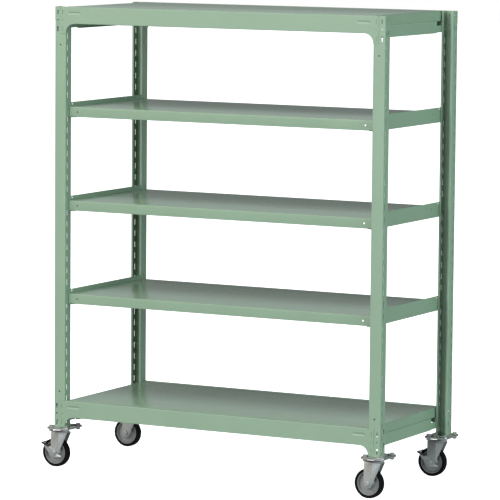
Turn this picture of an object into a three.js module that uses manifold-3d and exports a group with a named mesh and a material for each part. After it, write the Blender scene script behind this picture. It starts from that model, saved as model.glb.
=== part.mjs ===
// Mobile shelving: five folded steel levels between four slotted posts, on four swivel castors.
// Millimetres, +Z up. The origin is on the floor at the middle of the whole outline; the front faces -Y.
import * as THREE from 'three';
import { mergeGeometries, mergeVertices } from 'three/addons/utils/BufferGeometryUtils.js';
import Module from 'manifold-3d';

const wasm = await Module();
wasm.setup();

// Frame: outside sizes over the posts, and the heights of the levels above the post foot
const frameWidth = 1552;
const frameDepth = 702;
const postLength = 1800;
const bottomLevel = 116;
const lowerShelfSteps = 11;
const middleShelfSteps = 19;
const upperShelfSteps = 27;

// Clearances and the overrun of every cut
const seat = 0.3;
const runningGap = 0.6;
const overrun = 6;
const flatTolerance = 0.002;

// Post: a lipped channel, open towards the inside of the frame
const postFace = 53;
const postWeb = 48.5;
const postLip = 9;
const postSheet = 2;
const postBend = 2.4;
const slotPitch = 50;
const firstSlot = 25;
const slotLength = 26;
const slotWidth = 7;
const slotInset = 16.5;
const locatorRadius = 3.5;
const locatorFromTop = 161;
const locatorFromFoot = 155;

// Hook pattern at each beam: drops are measured from the top of the beam
const hookColumn = 13;
const hookSlotWidth = 5;
const upperHookDrop = 23.5;
const upperHookLength = 19;
const dowelDrop = 56;
const dowelRadius = 3.4;
const lowerHookDrop = 93.5;
const lowerHookLength = 22;
const sideColumn = 34.5;
const sideDowelDrop = 14;
const sideHookDrop = 69;
const sideHookLength = 20;

// Long beam: a folded channel whose ends widen into hooked gusset plates
const beamHeight = 72;
const beamSheet = 1.6;
const beamBend = 2;
const beamTopFlange = 22;
const beamTopLip = 7;
const beamBottomFlange = 18;
const beamBottomLip = 9;
const endPlateLap = 25;
const gussetRadius = 40;
const beadStart = 17;
const beadLength = 66;
const beadDrop = 21.5;
const beadHeight = 7.5;
const beadSlope = 2.6;
const beadDepth = 1.8;
const hookDrop = 5;
const hookReach = 3;

// Board: a folded pan with return lips and a hat-section stiffener below
const boardInset = 25.8;
const boardEndGap = 1.8;
const boardHeight = 42.5;
const boardSheet = 1.2;
const boardBend = 1.8;
const boardLip = 13;
const boardLipRelief = 18;
const boardHoleRadius = 3.6;
const boardHoleInset = 39.5;
const boardHoleDrop = 21;
const stiffenerWidth = 70;
const stiffenerDepth = 26;
const stiffenerFlange = 16;
const stiffenerBend = 1.8;

// Shelf bracket: an angle from post to post that carries a board and stands above it
const bracketSheet = 2;
const bracketBend = 2.2;
const bracketRise = 19.2;
const bracketLedge = 26;
const bracketEndInset = 10.7;
const bracketCorner = 9;
const bracketHoleRadius = 4;
const bracketHoleInset = 54;
const bracketHoleDrop = 7.6;
const bracketPilotRadius = 3;
const bracketPilotInset = 122;
const bracketPilotDrop = 26;

// Side beam: a channel below the top and bottom boards, notched beside the posts
const sideBeamHeight = 50;
const sideBeamLedge = 30;
const sideBeamFlange = 15;
const notchHeight = 18;
const notchLength = 44;

// Foot adapter between post and castor
const adapterThickness = 4.5;
const plateWidth = 104;
const plateDepth = 132;
const plateShift = 44;
const plateCorner = 10;
const heelLength = 43;
const heelHeight = 15;
const heelSheet = 3;
const heelBend = 3;
const tongueHeight = 30;

// Castor
const casterHeight = 175;
const casterPlateThickness = 4;
const trail = 40;
const wheelRadius = 62.5;
const tyreWidth = 28;
const rimRadius = 50;
const rimLip = 3;
const rimDish = 9;
const rimWebThickness = 5;
const hubRadius = 15;
const hubWidth = 34;
const axleRadius = 5;
const axleHeadRadius = 11;
const axleHeadHeight = 6;
const axleHeadChamfer = 3;
const axleNutRadius = 9;
const axleNutHeight = 8;
const forkSheet = 3;
const forkTop = 150;
const forkBack = 57;
const forkNose = 20.5;
const forkCrease = 19;
const forkPinch = 2.5;
const forkEndRadius = 20;
const forkBend = 3;
const crownRadius = 36.5;
const crownWall = 5;
const crownFloor = 5.5;
const crownRim = 10;
const crownChamfer = 2.5;
const raceTop = 26;
const raceWaist = 28;
const kingpinRadius = 6;
const kingpinHeadRadius = 10;
const kingpinHeadHeight = 5.5;
const kingpinChamfer = 2;

// Bolts of the castor plate
const boltRadius = 5;
const boltHexRadius = 9.2;
const boltHeadHeight = 6.5;
const boltNutHeight = 10;
const boltPitchX = 76;
const boltPitchY = 98;

// Brake lever
const leverSheet = 2.4;
const leverEyeRadius = 12;
const leverLobeRadius = 29;
const leverRodRadius = 4;
const leverRodBoss = 7;
const leverRodReach = 71;
const leverRodOverhang = 2;
const leverRestAngle = 148;
const leverLobeStart = 212;
const leverLobeEnd = 262;

// Facet counts
const bendSteps = 2;
const hiddenBendSteps = 1;
const holeSides = 8;
const smallHoleSides = 6;
const arcSteps = 5;
const leverSteps = 4;
const tyreSteps = 20;
const rimSteps = 12;
const crownSteps = 12;
const pinSteps = 10;
const hexSides = 6;

// Places worked out from the sizes above
const postFoot = casterHeight + seat + adapterThickness + seat;
const topLevel = postLength;
const shelfSteps = { lower: lowerShelfSteps, middle: middleShelfSteps, upper: upperShelfSteps };
const shelfLevel = (steps) => firstSlot + steps * slotPitch;
const postX = frameWidth / 2 - postFace / 2;
const innerWebX = frameWidth / 2 - postFace;
const boardHalfWidth = innerWebX - seat - bracketSheet - boardEndGap;
const boardHalfDepth = frameDepth / 2 - boardInset;
const ledgeDrop = boardHeight + seat;
const casterY = frameDepth / 2 - plateShift;
const forkInner = hubWidth / 2 + runningGap;
const forkOuter = forkInner + forkSheet;
const crownBase = forkTop - forkSheet;

// Finishes
const finish = (settings) => () => new THREE.MeshStandardMaterial(settings);
const sagePaint = finish({ color: 0x9db89a, roughness: 0.45, metalness: 0.1 });
const shelfPaint = finish({ color: 0x93a89a, roughness: 0.3, metalness: 0.1 });
const zincPlate = finish({ color: 0xa9aaa1, roughness: 0.4, metalness: 0.8 });
const darkSteel = finish({ color: 0x4a4a4c, roughness: 0.5, metalness: 0.7 });
const blackRubber = finish({ color: 0x17171a, roughness: 0.85, metalness: 0 });

// Solids from geometry, and geometry from solids
function solid(...pieces) {
  const shells = pieces.map((piece) => {
    const shell = piece.clone();
    shell.deleteAttribute('normal');
    shell.deleteAttribute('uv');
    return mergeVertices(shell);
  });
  const joined = mergeGeometries(shells);
  const corners = joined.index.array;
  const triangles = [];
  for (let i = 0; i < corners.length; i += 3) {
    const [a, b, c] = corners.slice(i, i + 3);
    if (a !== b && b !== c && c !== a) triangles.push(a, b, c);
  }
  return new wasm.Manifold(new wasm.Mesh({
    numProp: 3,
    vertProperties: Float32Array.from(joined.attributes.position.array),
    triVerts: Uint32Array.from(triangles),
  }));
}

function surface(body) {
  const { vertProperties, triVerts } = body.asOriginal().simplify(flatTolerance).getMesh();
  const geometry = new THREE.BufferGeometry();
  geometry.setAttribute('position', new THREE.BufferAttribute(vertProperties, 3));
  geometry.setIndex(new THREE.BufferAttribute(triVerts, 1));
  const faceted = geometry.toNonIndexed();
  faceted.computeVertexNormals();
  return faceted;
}

const join = (first, ...rest) => rest.reduce((whole, piece) => whole.add(piece), first);

// The outline of a sheet folded along a middle line, with rounded bends
function foldedStrip(path, sheet, bend, steps = bendSteps) {
  const line = path.map(([x, y]) => new THREE.Vector2(x, y));
  const left = [];
  const right = [];
  const put = (point, normal) => {
    left.push(point.clone().addScaledVector(normal, sheet / 2));
    right.push(point.clone().addScaledVector(normal, -sheet / 2));
  };
  const square = (way) => new THREE.Vector2(-way.y, way.x);
  line.forEach((corner, i) => {
    const wayIn = i > 0 ? corner.clone().sub(line[i - 1]).normalize() : null;
    const wayOut = i < line.length - 1 ? line[i + 1].clone().sub(corner).normalize() : null;
    if (!wayIn || !wayOut) {
      put(corner, square(wayIn ?? wayOut));
      return;
    }
    const turn = Math.atan2(wayIn.cross(wayOut), wayIn.dot(wayOut));
    const start = corner.clone().addScaledVector(wayIn, -bend * Math.tan(Math.abs(turn) / 2));
    const centre = start.clone().addScaledVector(square(wayIn), bend * Math.sign(turn));
    for (let step = 0; step <= steps; step += 1) {
      const normal = square(wayIn).rotateAround(new THREE.Vector2(), (turn * step) / steps);
      put(centre.clone().addScaledVector(normal, -bend * Math.sign(turn)), normal);
    }
  });
  return new THREE.Shape([...left, ...right.reverse()]);
}

const outline = (points) => new THREE.Shape(points.map(([x, y]) => new THREE.Vector2(x, y)));
const xAxis = new THREE.Vector3(1, 0, 0);
const yAxis = new THREE.Vector3(0, 1, 0);
const zAxis = new THREE.Vector3(0, 0, 1);

// A shape drawn in (y, z), (x, z) or (x, y) and carried along x, y or z, with sloping ends where
// a bevel is given
function prism(shape, axis, from, to, bevel = { bevelEnabled: false }) {
  const geometry = new THREE.ExtrudeGeometry(shape, { depth: to - from, curveSegments: arcSteps, ...bevel });
  const place = new THREE.Matrix4();
  if (axis === 'x') place.makeBasis(yAxis, zAxis, xAxis).setPosition(from, 0, 0);
  if (axis === 'y') place.makeBasis(xAxis, zAxis, yAxis.clone().negate()).setPosition(0, to, 0);
  if (axis === 'z') place.setPosition(0, 0, from);
  return geometry.applyMatrix4(place);
}

const block = (x0, x1, y0, y1, z0, z1) => new THREE.BoxGeometry(x1 - x0, y1 - y0, z1 - z0)
  .translate((x0 + x1) / 2, (y0 + y1) / 2, (z0 + z1) / 2);

// A round pin along one axis, for holes and rods
function pin(radius, axis, from, to, sides = holeSides) {
  const geometry = new THREE.CylinderGeometry(radius, radius, to - from, sides);
  geometry.translate(0, (from + to) / 2, 0);
  if (axis === 'x') geometry.rotateZ(-Math.PI / 2);
  if (axis === 'z') geometry.rotateX(Math.PI / 2);
  return geometry;
}

// A profile of [radius, height] turned about the y axis, listed from the low end outwards and up
const turned = (profile, steps) => new THREE.LatheGeometry(
  profile.map(([radius, height]) => new THREE.Vector2(radius, height)), steps);

// Post: local x across the face, y from the outer face inwards, z up from the foot
function postBody(fullInnerWeb) {
  const halfFace = postFace / 2 - postSheet / 2;
  const faceLine = postSheet / 2;
  const backLine = postWeb - postSheet / 2;
  const lipEnd = postFace / 2 - postLip;
  const section = foldedStrip([
    [-lipEnd, backLine], [-halfFace, backLine], [-halfFace, faceLine],
    [halfFace, faceLine], [halfFace, backLine], [lipEnd, backLine],
  ], postSheet, postBend);
  const cuts = [];
  const webSlot = (x0, x1, y, z, width, length) => cuts.push(
    block(x0, x1, y - width / 2, y + width / 2, z - length / 2, z + length / 2));
  const reach = postFace / 2 + overrun;
  const slotCount = Math.floor((postLength - firstSlot - slotLength / 2) / slotPitch) + 1;
  const hooked = Object.values(shelfSteps);
  for (let n = 0; n < slotCount; n += 1) {
    const inner = fullInnerWeb || hooked.includes(n) ? -reach : 0;
    webSlot(inner, reach, slotInset, firstSlot + n * slotPitch, slotWidth, slotLength);
  }
  for (const level of [topLevel, bottomLevel]) {
    webSlot(-reach, reach, sideColumn, level - sideHookDrop, slotWidth, sideHookLength);
    cuts.push(pin(locatorRadius, 'x', -reach, reach).translate(0, sideColumn, level - sideDowelDrop));
    for (const x of [-hookColumn, hookColumn]) {
      const faceSlot = (drop, length) => cuts.push(block(
        x - hookSlotWidth / 2, x + hookSlotWidth / 2, -overrun, postSheet + overrun,
        level - drop - length / 2, level - drop + length / 2));
      faceSlot(upperHookDrop, upperHookLength);
      faceSlot(lowerHookDrop, lowerHookLength);
      cuts.push(pin(dowelRadius, 'y', -overrun, postSheet + overrun).translate(x, 0, level - dowelDrop));
    }
  }
  for (const z of [locatorFromFoot, postLength - locatorFromTop]) {
    cuts.push(pin(locatorRadius, 'y', -overrun, postSheet + overrun, smallHoleSides).translate(0, 0, z));
  }
  return solid(prism(section, 'z', 0, postLength)).subtract(solid(...cuts));
}

// A hook is lanced from its sheet and bent square, which leaves a window of the hook's depth beside it.
// It goes through its slot and down behind the post's sheet. Drawn from the slot's middle, as depth
// and height
const hookEnd = postSheet + seat * 2 + hookReach;
function hookShape(slot) {
  const foot = -slot / 2 + seat;
  const back = postSheet + seat * 2;
  const crest = foot + hookDrop * 2;
  return outline([
    [-seat, foot], [back, foot], [back, foot - hookDrop],
    [hookEnd, foot - hookDrop], [hookEnd, crest], [-seat, crest],
  ]);
}

// Long beam: local x along it, y from the post face inwards, z down from its top edge
function beamBody() {
  const sheetLine = -seat - beamSheet / 2;
  const back = -seat;
  const front = back - beamSheet;
  const plateEnd = innerWebX + endPlateLap;
  const gussetStart = innerWebX - gussetRadius;
  const channelEnd = innerWebX - seat - bracketSheet - runningGap;
  const section = foldedStrip([
    [beamTopFlange, -beamTopLip], [beamTopFlange, -beamSheet / 2], [sheetLine, -beamSheet / 2],
    [sheetLine, beamSheet / 2 - beamHeight], [beamBottomFlange, beamSheet / 2 - beamHeight],
    [beamBottomFlange, beamBottomLip - beamHeight],
  ], beamSheet, beamBend);
  const beam = solid(prism(section, 'x', -channelEnd, channelEnd));
  const plate = new THREE.Shape();
  plate.moveTo(gussetStart - beamBend, -beamBend);
  plate.lineTo(gussetStart - beamBend, -beamHeight);
  plate.lineTo(gussetStart, -beamHeight);
  plate.absarc(gussetStart, -beamHeight - gussetRadius, gussetRadius, Math.PI / 2, 0, true);
  plate.lineTo(plateEnd, -beamHeight - gussetRadius);
  plate.lineTo(plateEnd, 0);
  plate.lineTo(channelEnd, 0);
  plate.lineTo(channelEnd, -beamBend);
  const bead = new THREE.Shape();
  const beadEnd = innerWebX - beadStart - beadHeight / 2;
  bead.absarc(beadEnd, -beadDrop, beadHeight / 2, -Math.PI / 2, Math.PI / 2, false);
  const beadFoot = beadEnd - beadLength + beadHeight;
  bead.absarc(beadFoot, -beadDrop, beadHeight / 2, Math.PI / 2, -Math.PI / 2, false);
  const hookX = postX - hookColumn - hookSlotWidth / 2 + seat;
  const windowX = hookX + beamSheet;
  const hookDrops = [[upperHookDrop, upperHookLength], [lowerHookDrop, lowerHookLength]];
  const hooks = hookDrops.map(([drop, length]) => solid(
    prism(hookShape(length), 'x', hookX, windowX).translate(0, 0, -drop)));
  const windows = hookDrops.map(([drop, length]) => block(
    windowX, windowX + hookEnd, front - overrun, back + overrun, -drop - length / 2, length / 2 - drop));
  const dowel = pin(dowelRadius, 'y', front - overrun, back + overrun)
    .translate(postX - hookColumn, 0, -dowelDrop);
  const slopes = {
    bevelThickness: beadDepth, bevelSize: beadSlope, bevelOffset: -beadSlope, bevelSegments: 1,
  };
  const ridge = solid(prism(bead, 'y', back - beamSheet / 2, back, slopes));
  const groove = solid(prism(bead, 'y', front - overrun, front, slopes));
  const endPlate = solid(prism(plate, 'y', front, back)).subtract(solid(...windows, dowel));
  const end = join(endPlate, ridge, ...hooks);
  return join(beam, end, end.mirror([1, 0, 0])).subtract(groove).subtract(groove.mirror([1, 0, 0]));
}

// What a piece has at both ends, and a span there on one side of its middle
const atBothEnds = (make) => [make(-1), make(1)];
const between = (side, near, far) => (side > 0 ? [near, far] : [-far, -near]);

// Board: local x along it, y across, z down from its top face
function boardBody() {
  const flange = boardHalfDepth - boardSheet / 2;
  const under = boardSheet / 2 - boardHeight;
  const pan = solid(prism(foldedStrip([
    [boardLip - flange, under], [-flange, under], [-flange, -boardSheet / 2],
    [flange, -boardSheet / 2], [flange, under], [flange - boardLip, under],
  ], boardSheet, boardBend), 'x', -boardHalfWidth, boardHalfWidth));
  const lipEnd = boardHalfWidth - boardLipRelief;
  const reliefTop = under + boardBend;
  const through = boardHalfDepth + overrun;
  const reliefs = atBothEnds((side) => block(
    ...between(side, lipEnd, boardHalfWidth + overrun),
    -through, through, -boardHeight - overrun, reliefTop));
  const endReach = boardHalfDepth - boardSheet - seat;
  const ends = atBothEnds((side) => solid(block(
    ...between(side, boardHalfWidth - boardSheet, boardHalfWidth),
    -endReach, endReach, -boardHeight, -boardSheet / 2)));
  const hatFoot = -boardSheet * 1.5;
  const hatHalf = stiffenerWidth / 2 - stiffenerFlange;
  const hat = solid(prism(foldedStrip([
    [-stiffenerWidth / 2, hatFoot], [-hatHalf, hatFoot], [-hatHalf, -stiffenerDepth],
    [hatHalf, -stiffenerDepth], [hatHalf, hatFoot], [stiffenerWidth / 2, hatFoot],
  ], boardSheet, stiffenerBend, hiddenBendSteps), 'x', -lipEnd, lipEnd));
  const holes = atBothEnds((side) => pin(boardHoleRadius, 'y', -through, through, smallHoleSides)
    .translate(side * (boardHalfWidth - boardHoleInset), 0, -boardHoleDrop));
  return join(pan.subtract(solid(...reliefs)), ...ends, hat).subtract(solid(...holes));
}

// Shelf bracket: local x from the post web inwards, y along it, z from the board's top face
function bracketBody() {
  const half = frameDepth / 2 - bracketEndInset;
  const bottom = -ledgeDrop - bracketSheet;
  const top = bracketRise;
  const web = outline([
    [-half, bottom], [half, bottom], [half, top - bracketCorner], [half - bracketCorner, top],
    [bracketCorner - half, top], [-half, top - bracketCorner],
  ]);
  const sheetLine = seat + bracketSheet / 2;
  const ledge = foldedStrip([
    [sheetLine, -boardHeight / 2], [sheetLine, bottom + bracketSheet / 2],
    [sheetLine + bracketLedge, bottom + bracketSheet / 2],
  ], bracketSheet, bracketBend);
  const plate = solid(prism(web, 'x', seat, seat + bracketSheet));
  const rim = solid(block(
    seat, bracketLedge, -half - overrun, half + overrun, bottom - overrun, bottom + bracketBend));
  const shelf = solid(prism(ledge, 'y', -boardHalfDepth, boardHalfDepth));
  const cuts = atBothEnds((side) => [
    pin(bracketHoleRadius, 'x', -overrun, bracketLedge)
      .translate(0, side * (frameDepth / 2 - bracketHoleInset), top - bracketHoleDrop),
    pin(bracketPilotRadius, 'x', -overrun, bracketLedge, smallHoleSides)
      .translate(0, side * (frameDepth / 2 - bracketPilotInset), top - bracketPilotDrop),
  ]).flat();
  const { hooks, windows } = sideHooks(slotInset, slotWidth, slotLength);
  return join(plate.subtract(rim), shelf, ...hooks).subtract(solid(...cuts, ...windows));
}

// The hooks of a side piece, outwards through the post webs, and the windows that they leave in its sheet
function sideHooks(inset, width, length) {
  const hook = outline(hookShape(length).getPoints().map((point) => [-point.x, point.y]).reverse());
  const edge = frameDepth / 2 - inset + width / 2 - seat;
  const windowEdge = edge - bracketSheet;
  const hooks = atBothEnds((side) => solid(prism(hook, 'y', ...between(side, windowEdge, edge))));
  const windows = atBothEnds((side) => block(
    -overrun, bracketSheet + overrun, ...between(side, windowEdge - hookEnd, windowEdge),
    -length / 2, length / 2));
  return { hooks, windows };
}

// Side beam: local x from the post web inwards, y along it, z down from the board's top face
function sideBeamBody() {
  const half = frameDepth / 2 - bracketEndInset;
  const top = -ledgeDrop;
  const bottom = top - sideBeamHeight;
  const sheetLine = seat + bracketSheet / 2;
  const section = foldedStrip([
    [sheetLine + sideBeamLedge, top - bracketSheet / 2], [sheetLine, top - bracketSheet / 2],
    [sheetLine, bottom + bracketSheet / 2], [sheetLine + sideBeamFlange, bottom + bracketSheet / 2],
  ], bracketSheet, bracketBend);
  const reach = sheetLine + sideBeamLedge + overrun;
  const notchEnd = frameDepth / 2 - postWeb - notchLength;
  const corner = bracketSheet + bracketBend;
  const end = frameDepth / 2;
  const web = end - postWeb;
  const cuts = atBothEnds((side) => [
    block(-overrun, reach, ...between(side, notchEnd, web), top - notchHeight, top + overrun),
    block(seat + bracketSheet, reach, ...between(side, notchEnd, end), bottom - overrun, top + overrun),
    block(-overrun, reach, ...between(side, web - overrun, end), top - corner, top + overrun),
  ]).flat();
  const { hooks, windows } = sideHooks(sideColumn, slotWidth, sideHookLength);
  const down = [0, 0, -sideHookDrop];
  const dropped = windows.map((window) => window.translate(...down));
  const body = [...cuts, ...dropped].reduce(
    (whole, cut) => whole.subtract(solid(cut)), solid(prism(section, 'y', -half, half)));
  return join(body, ...hooks.map((hook) => hook.translate(down)));
}

// The plan of the adapter and castor plates, with clipped corners, about the castor's axis
const plateShape = () => outline([
  [-plateWidth / 2 + plateCorner, -plateDepth / 2], [plateWidth / 2 - plateCorner, -plateDepth / 2],
  [plateWidth / 2, -plateDepth / 2 + plateCorner], [plateWidth / 2, plateDepth / 2 - plateCorner],
  [plateWidth / 2 - plateCorner, plateDepth / 2], [-plateWidth / 2 + plateCorner, plateDepth / 2],
  [-plateWidth / 2, plateDepth / 2 - plateCorner], [-plateWidth / 2, -plateDepth / 2 + plateCorner],
]);

const boltPlaces = [[-1, -1], [1, -1], [-1, 1], [1, 1]]
  .map(([x, y]) => [(x * boltPitchX) / 2, (y * boltPitchY) / 2]);

const boltHoles = (z0, z1) => boltPlaces
  .map(([x, y]) => pin(boltRadius + seat, 'z', z0, z1, hexSides).translate(x, y, 0));

// Foot adapter: local x and y about the castor's axis, y inwards, z from the post foot
function adapterBody() {
  const top = -seat;
  const bottom = top - adapterThickness;
  const channelFloor = top + heelSheet / 2;
  const channel = (halfWidth, height) => foldedStrip([
    [-halfWidth, height], [-halfWidth, channelFloor], [halfWidth, channelFloor], [halfWidth, height],
  ], heelSheet, heelBend, hiddenBendSteps);
  const heelStart = postWeb + runningGap - plateShift;
  const heelHalf = postFace / 2 - heelSheet / 2;
  const heel = prism(channel(heelHalf, heelHeight), 'y', heelStart, heelStart + heelLength);
  const tongueHalf = postFace / 2 - postSheet / 2 - postBend - runningGap - heelSheet / 2;
  const tongue = prism(channel(tongueHalf, tongueHeight), 'y',
    postSheet * 2 - plateShift, postWeb - postSheet - runningGap - plateShift);
  const plate = solid(prism(plateShape(), 'z', bottom, top));
  const holes = solid(...boltHoles(bottom - overrun, top + overrun));
  return join(plate.subtract(holes), solid(heel), solid(tongue));
}

// Castor plate with its race and the four bolts that clamp it, z from the floor
function casterPlateBody() {
  const plateBottom = casterHeight - casterPlateThickness;
  const raceRadius = crownRadius - crownWall - runningGap;
  const raceBottom = crownBase + crownFloor + runningGap;
  const insidePlate = plateBottom + casterPlateThickness / 2;
  const race = solid(turned([
    [0, raceBottom], [raceRadius, raceBottom],
    [raceRadius, crownBase + crownRim + runningGap * 2], [raceWaist, plateBottom - casterPlateThickness],
    [raceTop, insidePlate], [0, insidePlate],
  ], crownSteps).rotateX(Math.PI / 2));
  const plate = solid(prism(plateShape(), 'z', plateBottom, casterHeight));
  const bore = solid(pin(kingpinRadius + seat, 'z', raceBottom - overrun, casterHeight + overrun, pinSteps));
  const headBottom = postFoot;
  const nutBottom = plateBottom - boltNutHeight;
  const headTop = headBottom + boltHeadHeight;
  const bolts = boltPlaces.map(([x, y]) => solid(turned([
    [0, nutBottom], [boltHexRadius, nutBottom], [boltHexRadius, insidePlate], [boltRadius, insidePlate],
    [boltRadius, headBottom], [boltHexRadius, headBottom], [boltHexRadius, headTop], [0, headTop],
  ], hexSides).rotateX(Math.PI / 2).translate(x, y, 0)));
  return join(plate, race, ...bolts).subtract(bore);
}

// Kingpin: a rivet from below the crown up through the race and plate, z from the floor
function kingpinBody() {
  const headTop = crownBase - runningGap;
  const foot = headTop - kingpinHeadHeight;
  return solid(turned([
    [0, foot], [kingpinHeadRadius - kingpinChamfer, foot], [kingpinHeadRadius, foot + kingpinChamfer],
    [kingpinHeadRadius, headTop], [kingpinRadius, headTop], [kingpinRadius, casterHeight], [0, casterHeight],
  ], pinSteps).rotateX(Math.PI / 2));
}

// Fork: local x from the castor's axis, y across, z from the floor; the wheel trails towards -x
function forkBody() {
  const legLine = forkInner + forkSheet / 2;
  const side = new THREE.Shape();
  const backAngle = Math.PI - Math.acos((forkBack - trail) / forkEndRadius);
  const toNose = new THREE.Vector2(forkNose + trail, forkTop - wheelRadius);
  const noseAngle = toNose.angle() - Math.acos(forkEndRadius / toNose.length());
  side.moveTo(forkNose, forkTop);
  side.lineTo(-forkBack, forkTop);
  side.absarc(-trail, wheelRadius, forkEndRadius, backAngle, noseAngle + Math.PI * 2, false);
  const plan = foldedStrip([
    [-forkBack - overrun, legLine], [-forkCrease, legLine], [forkNose + overrun, legLine - forkPinch],
  ], forkSheet, forkBend);
  const leg = solid(prism(plan, 'z', 0, forkTop));
  const webPlan = outline([
    [-forkBack, -legLine], [-forkCrease, -legLine], [forkNose, forkPinch - legLine],
    [forkNose, legLine - forkPinch], [-forkCrease, legLine], [-forkBack, legLine],
  ]);
  const crownTop = crownBase + crownRim;
  const cup = crownRadius - crownWall;
  const crown = solid(turned([
    [kingpinRadius + runningGap, crownBase], [crownRadius - crownChamfer, crownBase],
    [crownRadius, crownBase + crownChamfer], [crownRadius, crownTop],
    [cup, crownTop], [cup, crownBase + crownFloor],
    [kingpinRadius + runningGap, crownBase + crownFloor], [kingpinRadius + runningGap, crownBase],
  ], crownSteps).rotateX(Math.PI / 2));
  const legs = leg.add(leg.mirror([0, 1, 0]))
    .intersect(solid(prism(side, 'y', -forkOuter - overrun, forkOuter + overrun)));
  const bore = pin(kingpinRadius + runningGap, 'z', crownBase - overrun, forkTop + overrun, crownSteps);
  const top = solid(prism(webPlan, 'z', crownBase, forkTop)).subtract(solid(bore));
  const axleHole = pin(axleRadius + seat, 'y', -forkOuter - overrun, forkOuter + overrun, pinSteps)
    .translate(-trail, 0, wheelRadius);
  return join(legs, top, crown).subtract(solid(axleHole));
}

// Axle bolt: a domed head in front and a nut behind, along y about the wheel's centre
function axleBody(withCollars) {
  const grip = forkOuter + seat;
  const flange = grip + leverSheet + seat;
  const collar = withCollars ? grip : flange;
  const headEnd = -flange - axleHeadHeight;
  const nutEnd = flange + axleNutHeight;
  return solid(turned([
    [0, headEnd], [axleHeadRadius - axleHeadChamfer, headEnd], [axleHeadRadius, headEnd + axleHeadChamfer],
    [axleHeadRadius, -collar], [axleRadius, -collar], [axleRadius, collar], [axleNutRadius, collar],
    [axleNutRadius, nutEnd], [0, nutEnd],
  ], pinSteps));
}

// Rim: a pressed disc wheel with a rolled lip on each side, along y about its centre
function rimBody() {
  const bore = axleRadius + runningGap;
  const lipFace = tyreWidth / 2 - seat;
  const face = [
    [hubRadius, hubWidth / 2], [hubRadius + rimDish, rimWebThickness / 2],
    [rimRadius - rimDish, rimWebThickness / 2], [rimRadius - rimLip, lipFace], [rimRadius, lipFace],
  ];
  return solid(turned([
    [bore, -hubWidth / 2], ...face.map(([radius, height]) => [radius, -height]),
    ...[...face].reverse(), [bore, hubWidth / 2], [bore, -hubWidth / 2],
  ], rimSteps));
}

// Tyre: a solid rubber ring with rounded shoulders, along y about its centre
function tyreBody() {
  const bore = rimRadius + seat;
  const half = tyreWidth / 2;
  const wall = wheelRadius - bore;
  const shoulderShares = [[0.68, 1], [1, 0.62]];
  const shoulder = shoulderShares.map(([out, across]) => [bore + wall * out, half * across]);
  const radiusScale = 1 / Math.cos(Math.PI / tyreSteps);
  return solid(turned([
    [bore * radiusScale, -half], ...shoulder.map(([radius, height]) => [radius * radiusScale, -height]),
    ...[...shoulder].reverse().map(([radius, height]) => [radius * radiusScale, height]),
    [bore * radiusScale, half], [bore * radiusScale, -half],
  ], tyreSteps).rotateY(Math.PI / tyreSteps));
}

// Brake lever: two plates on the axle joined by a rod beyond the tread, about the wheel's centre
function brakeLeverBody() {
  const radians = (degrees) => (degrees * Math.PI) / 180;
  const rod = new THREE.Vector2(leverRodReach, 0).rotateAround(new THREE.Vector2(), radians(leverRestAngle));
  const rest = radians(leverRestAngle);
  const splay = Math.asin((leverEyeRadius - leverRodBoss) / leverRodReach);
  const plate = new THREE.Shape();
  plate.absarc(0, 0, leverLobeRadius, radians(leverLobeStart), radians(leverLobeEnd), false);
  plate.absarc(0, 0, leverEyeRadius, -Math.PI / 3, rest - Math.PI / 2 - splay, false);
  plate.absarc(rod.x, rod.y, leverRodBoss, rest - Math.PI / 2 - splay, rest + Math.PI / 2, false);
  const inner = forkOuter + seat * 2;
  const cheek = new THREE.Shape(plate.getPoints(leverSteps));
  const eye = pin(axleRadius + seat * 2, 'y', inner - overrun, inner + leverSheet + overrun, pinSteps);
  const side = solid(prism(cheek, 'y', inner, inner + leverSheet - seat * 2)).subtract(solid(eye));
  const end = inner + leverSheet + leverRodOverhang;
  const bar = solid(pin(leverRodRadius, 'y', -end, end, pinSteps).translate(rod.x, 0, rod.y));
  return join(side, side.mirror([0, 1, 0]), bar);
}

// Assembly
const shelving = new THREE.Group();
shelving.name = 'mobile_shelving';

function addPart(parent, name, geometry, material, x = 0, y = 0, z = 0, turn = 0) {
  const mesh = new THREE.Mesh(geometry, material);
  mesh.name = name;
  mesh.position.set(x, y, z);
  mesh.rotation.z = turn;
  parent.add(mesh);
}

const frame = new THREE.Group();
frame.name = 'frame';
shelving.add(frame);

const bothWebsSlotted = surface(postBody(true));
const outerWebSlotted = surface(postBody(false));
const corners = [
  { name: 'front_left', x: -1, y: -1, turn: 0, post: bothWebsSlotted, brake: true },
  { name: 'front_right', x: 1, y: -1, turn: 0, post: outerWebSlotted, brake: false },
  { name: 'rear_left', x: -1, y: 1, turn: Math.PI, post: outerWebSlotted, brake: false },
  { name: 'rear_right', x: 1, y: 1, turn: Math.PI, post: bothWebsSlotted, brake: true },
];
for (const { name, x, y, turn, post } of corners) {
  addPart(frame, `post_${name}`, post, sagePaint(), x * postX, (y * frameDepth) / 2, postFoot, turn);
}

const beam = surface(beamBody());
const sideBeam = surface(sideBeamBody());
const board = surface(boardBody());
for (const [name, level] of [['top', topLevel], ['bottom', bottomLevel]]) {
  const z = postFoot + level;
  addPart(frame, `beam_${name}_front`, beam, sagePaint(), 0, -frameDepth / 2, z);
  addPart(frame, `beam_${name}_rear`, beam, sagePaint(), 0, frameDepth / 2, z, Math.PI);
  addPart(frame, `side_beam_${name}_left`, sideBeam, sagePaint(), -innerWebX, 0, z);
  addPart(frame, `side_beam_${name}_right`, sideBeam, sagePaint(), innerWebX, 0, z, Math.PI);
  addPart(frame, `board_${name}`, board, shelfPaint(), 0, 0, z);
}

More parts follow.
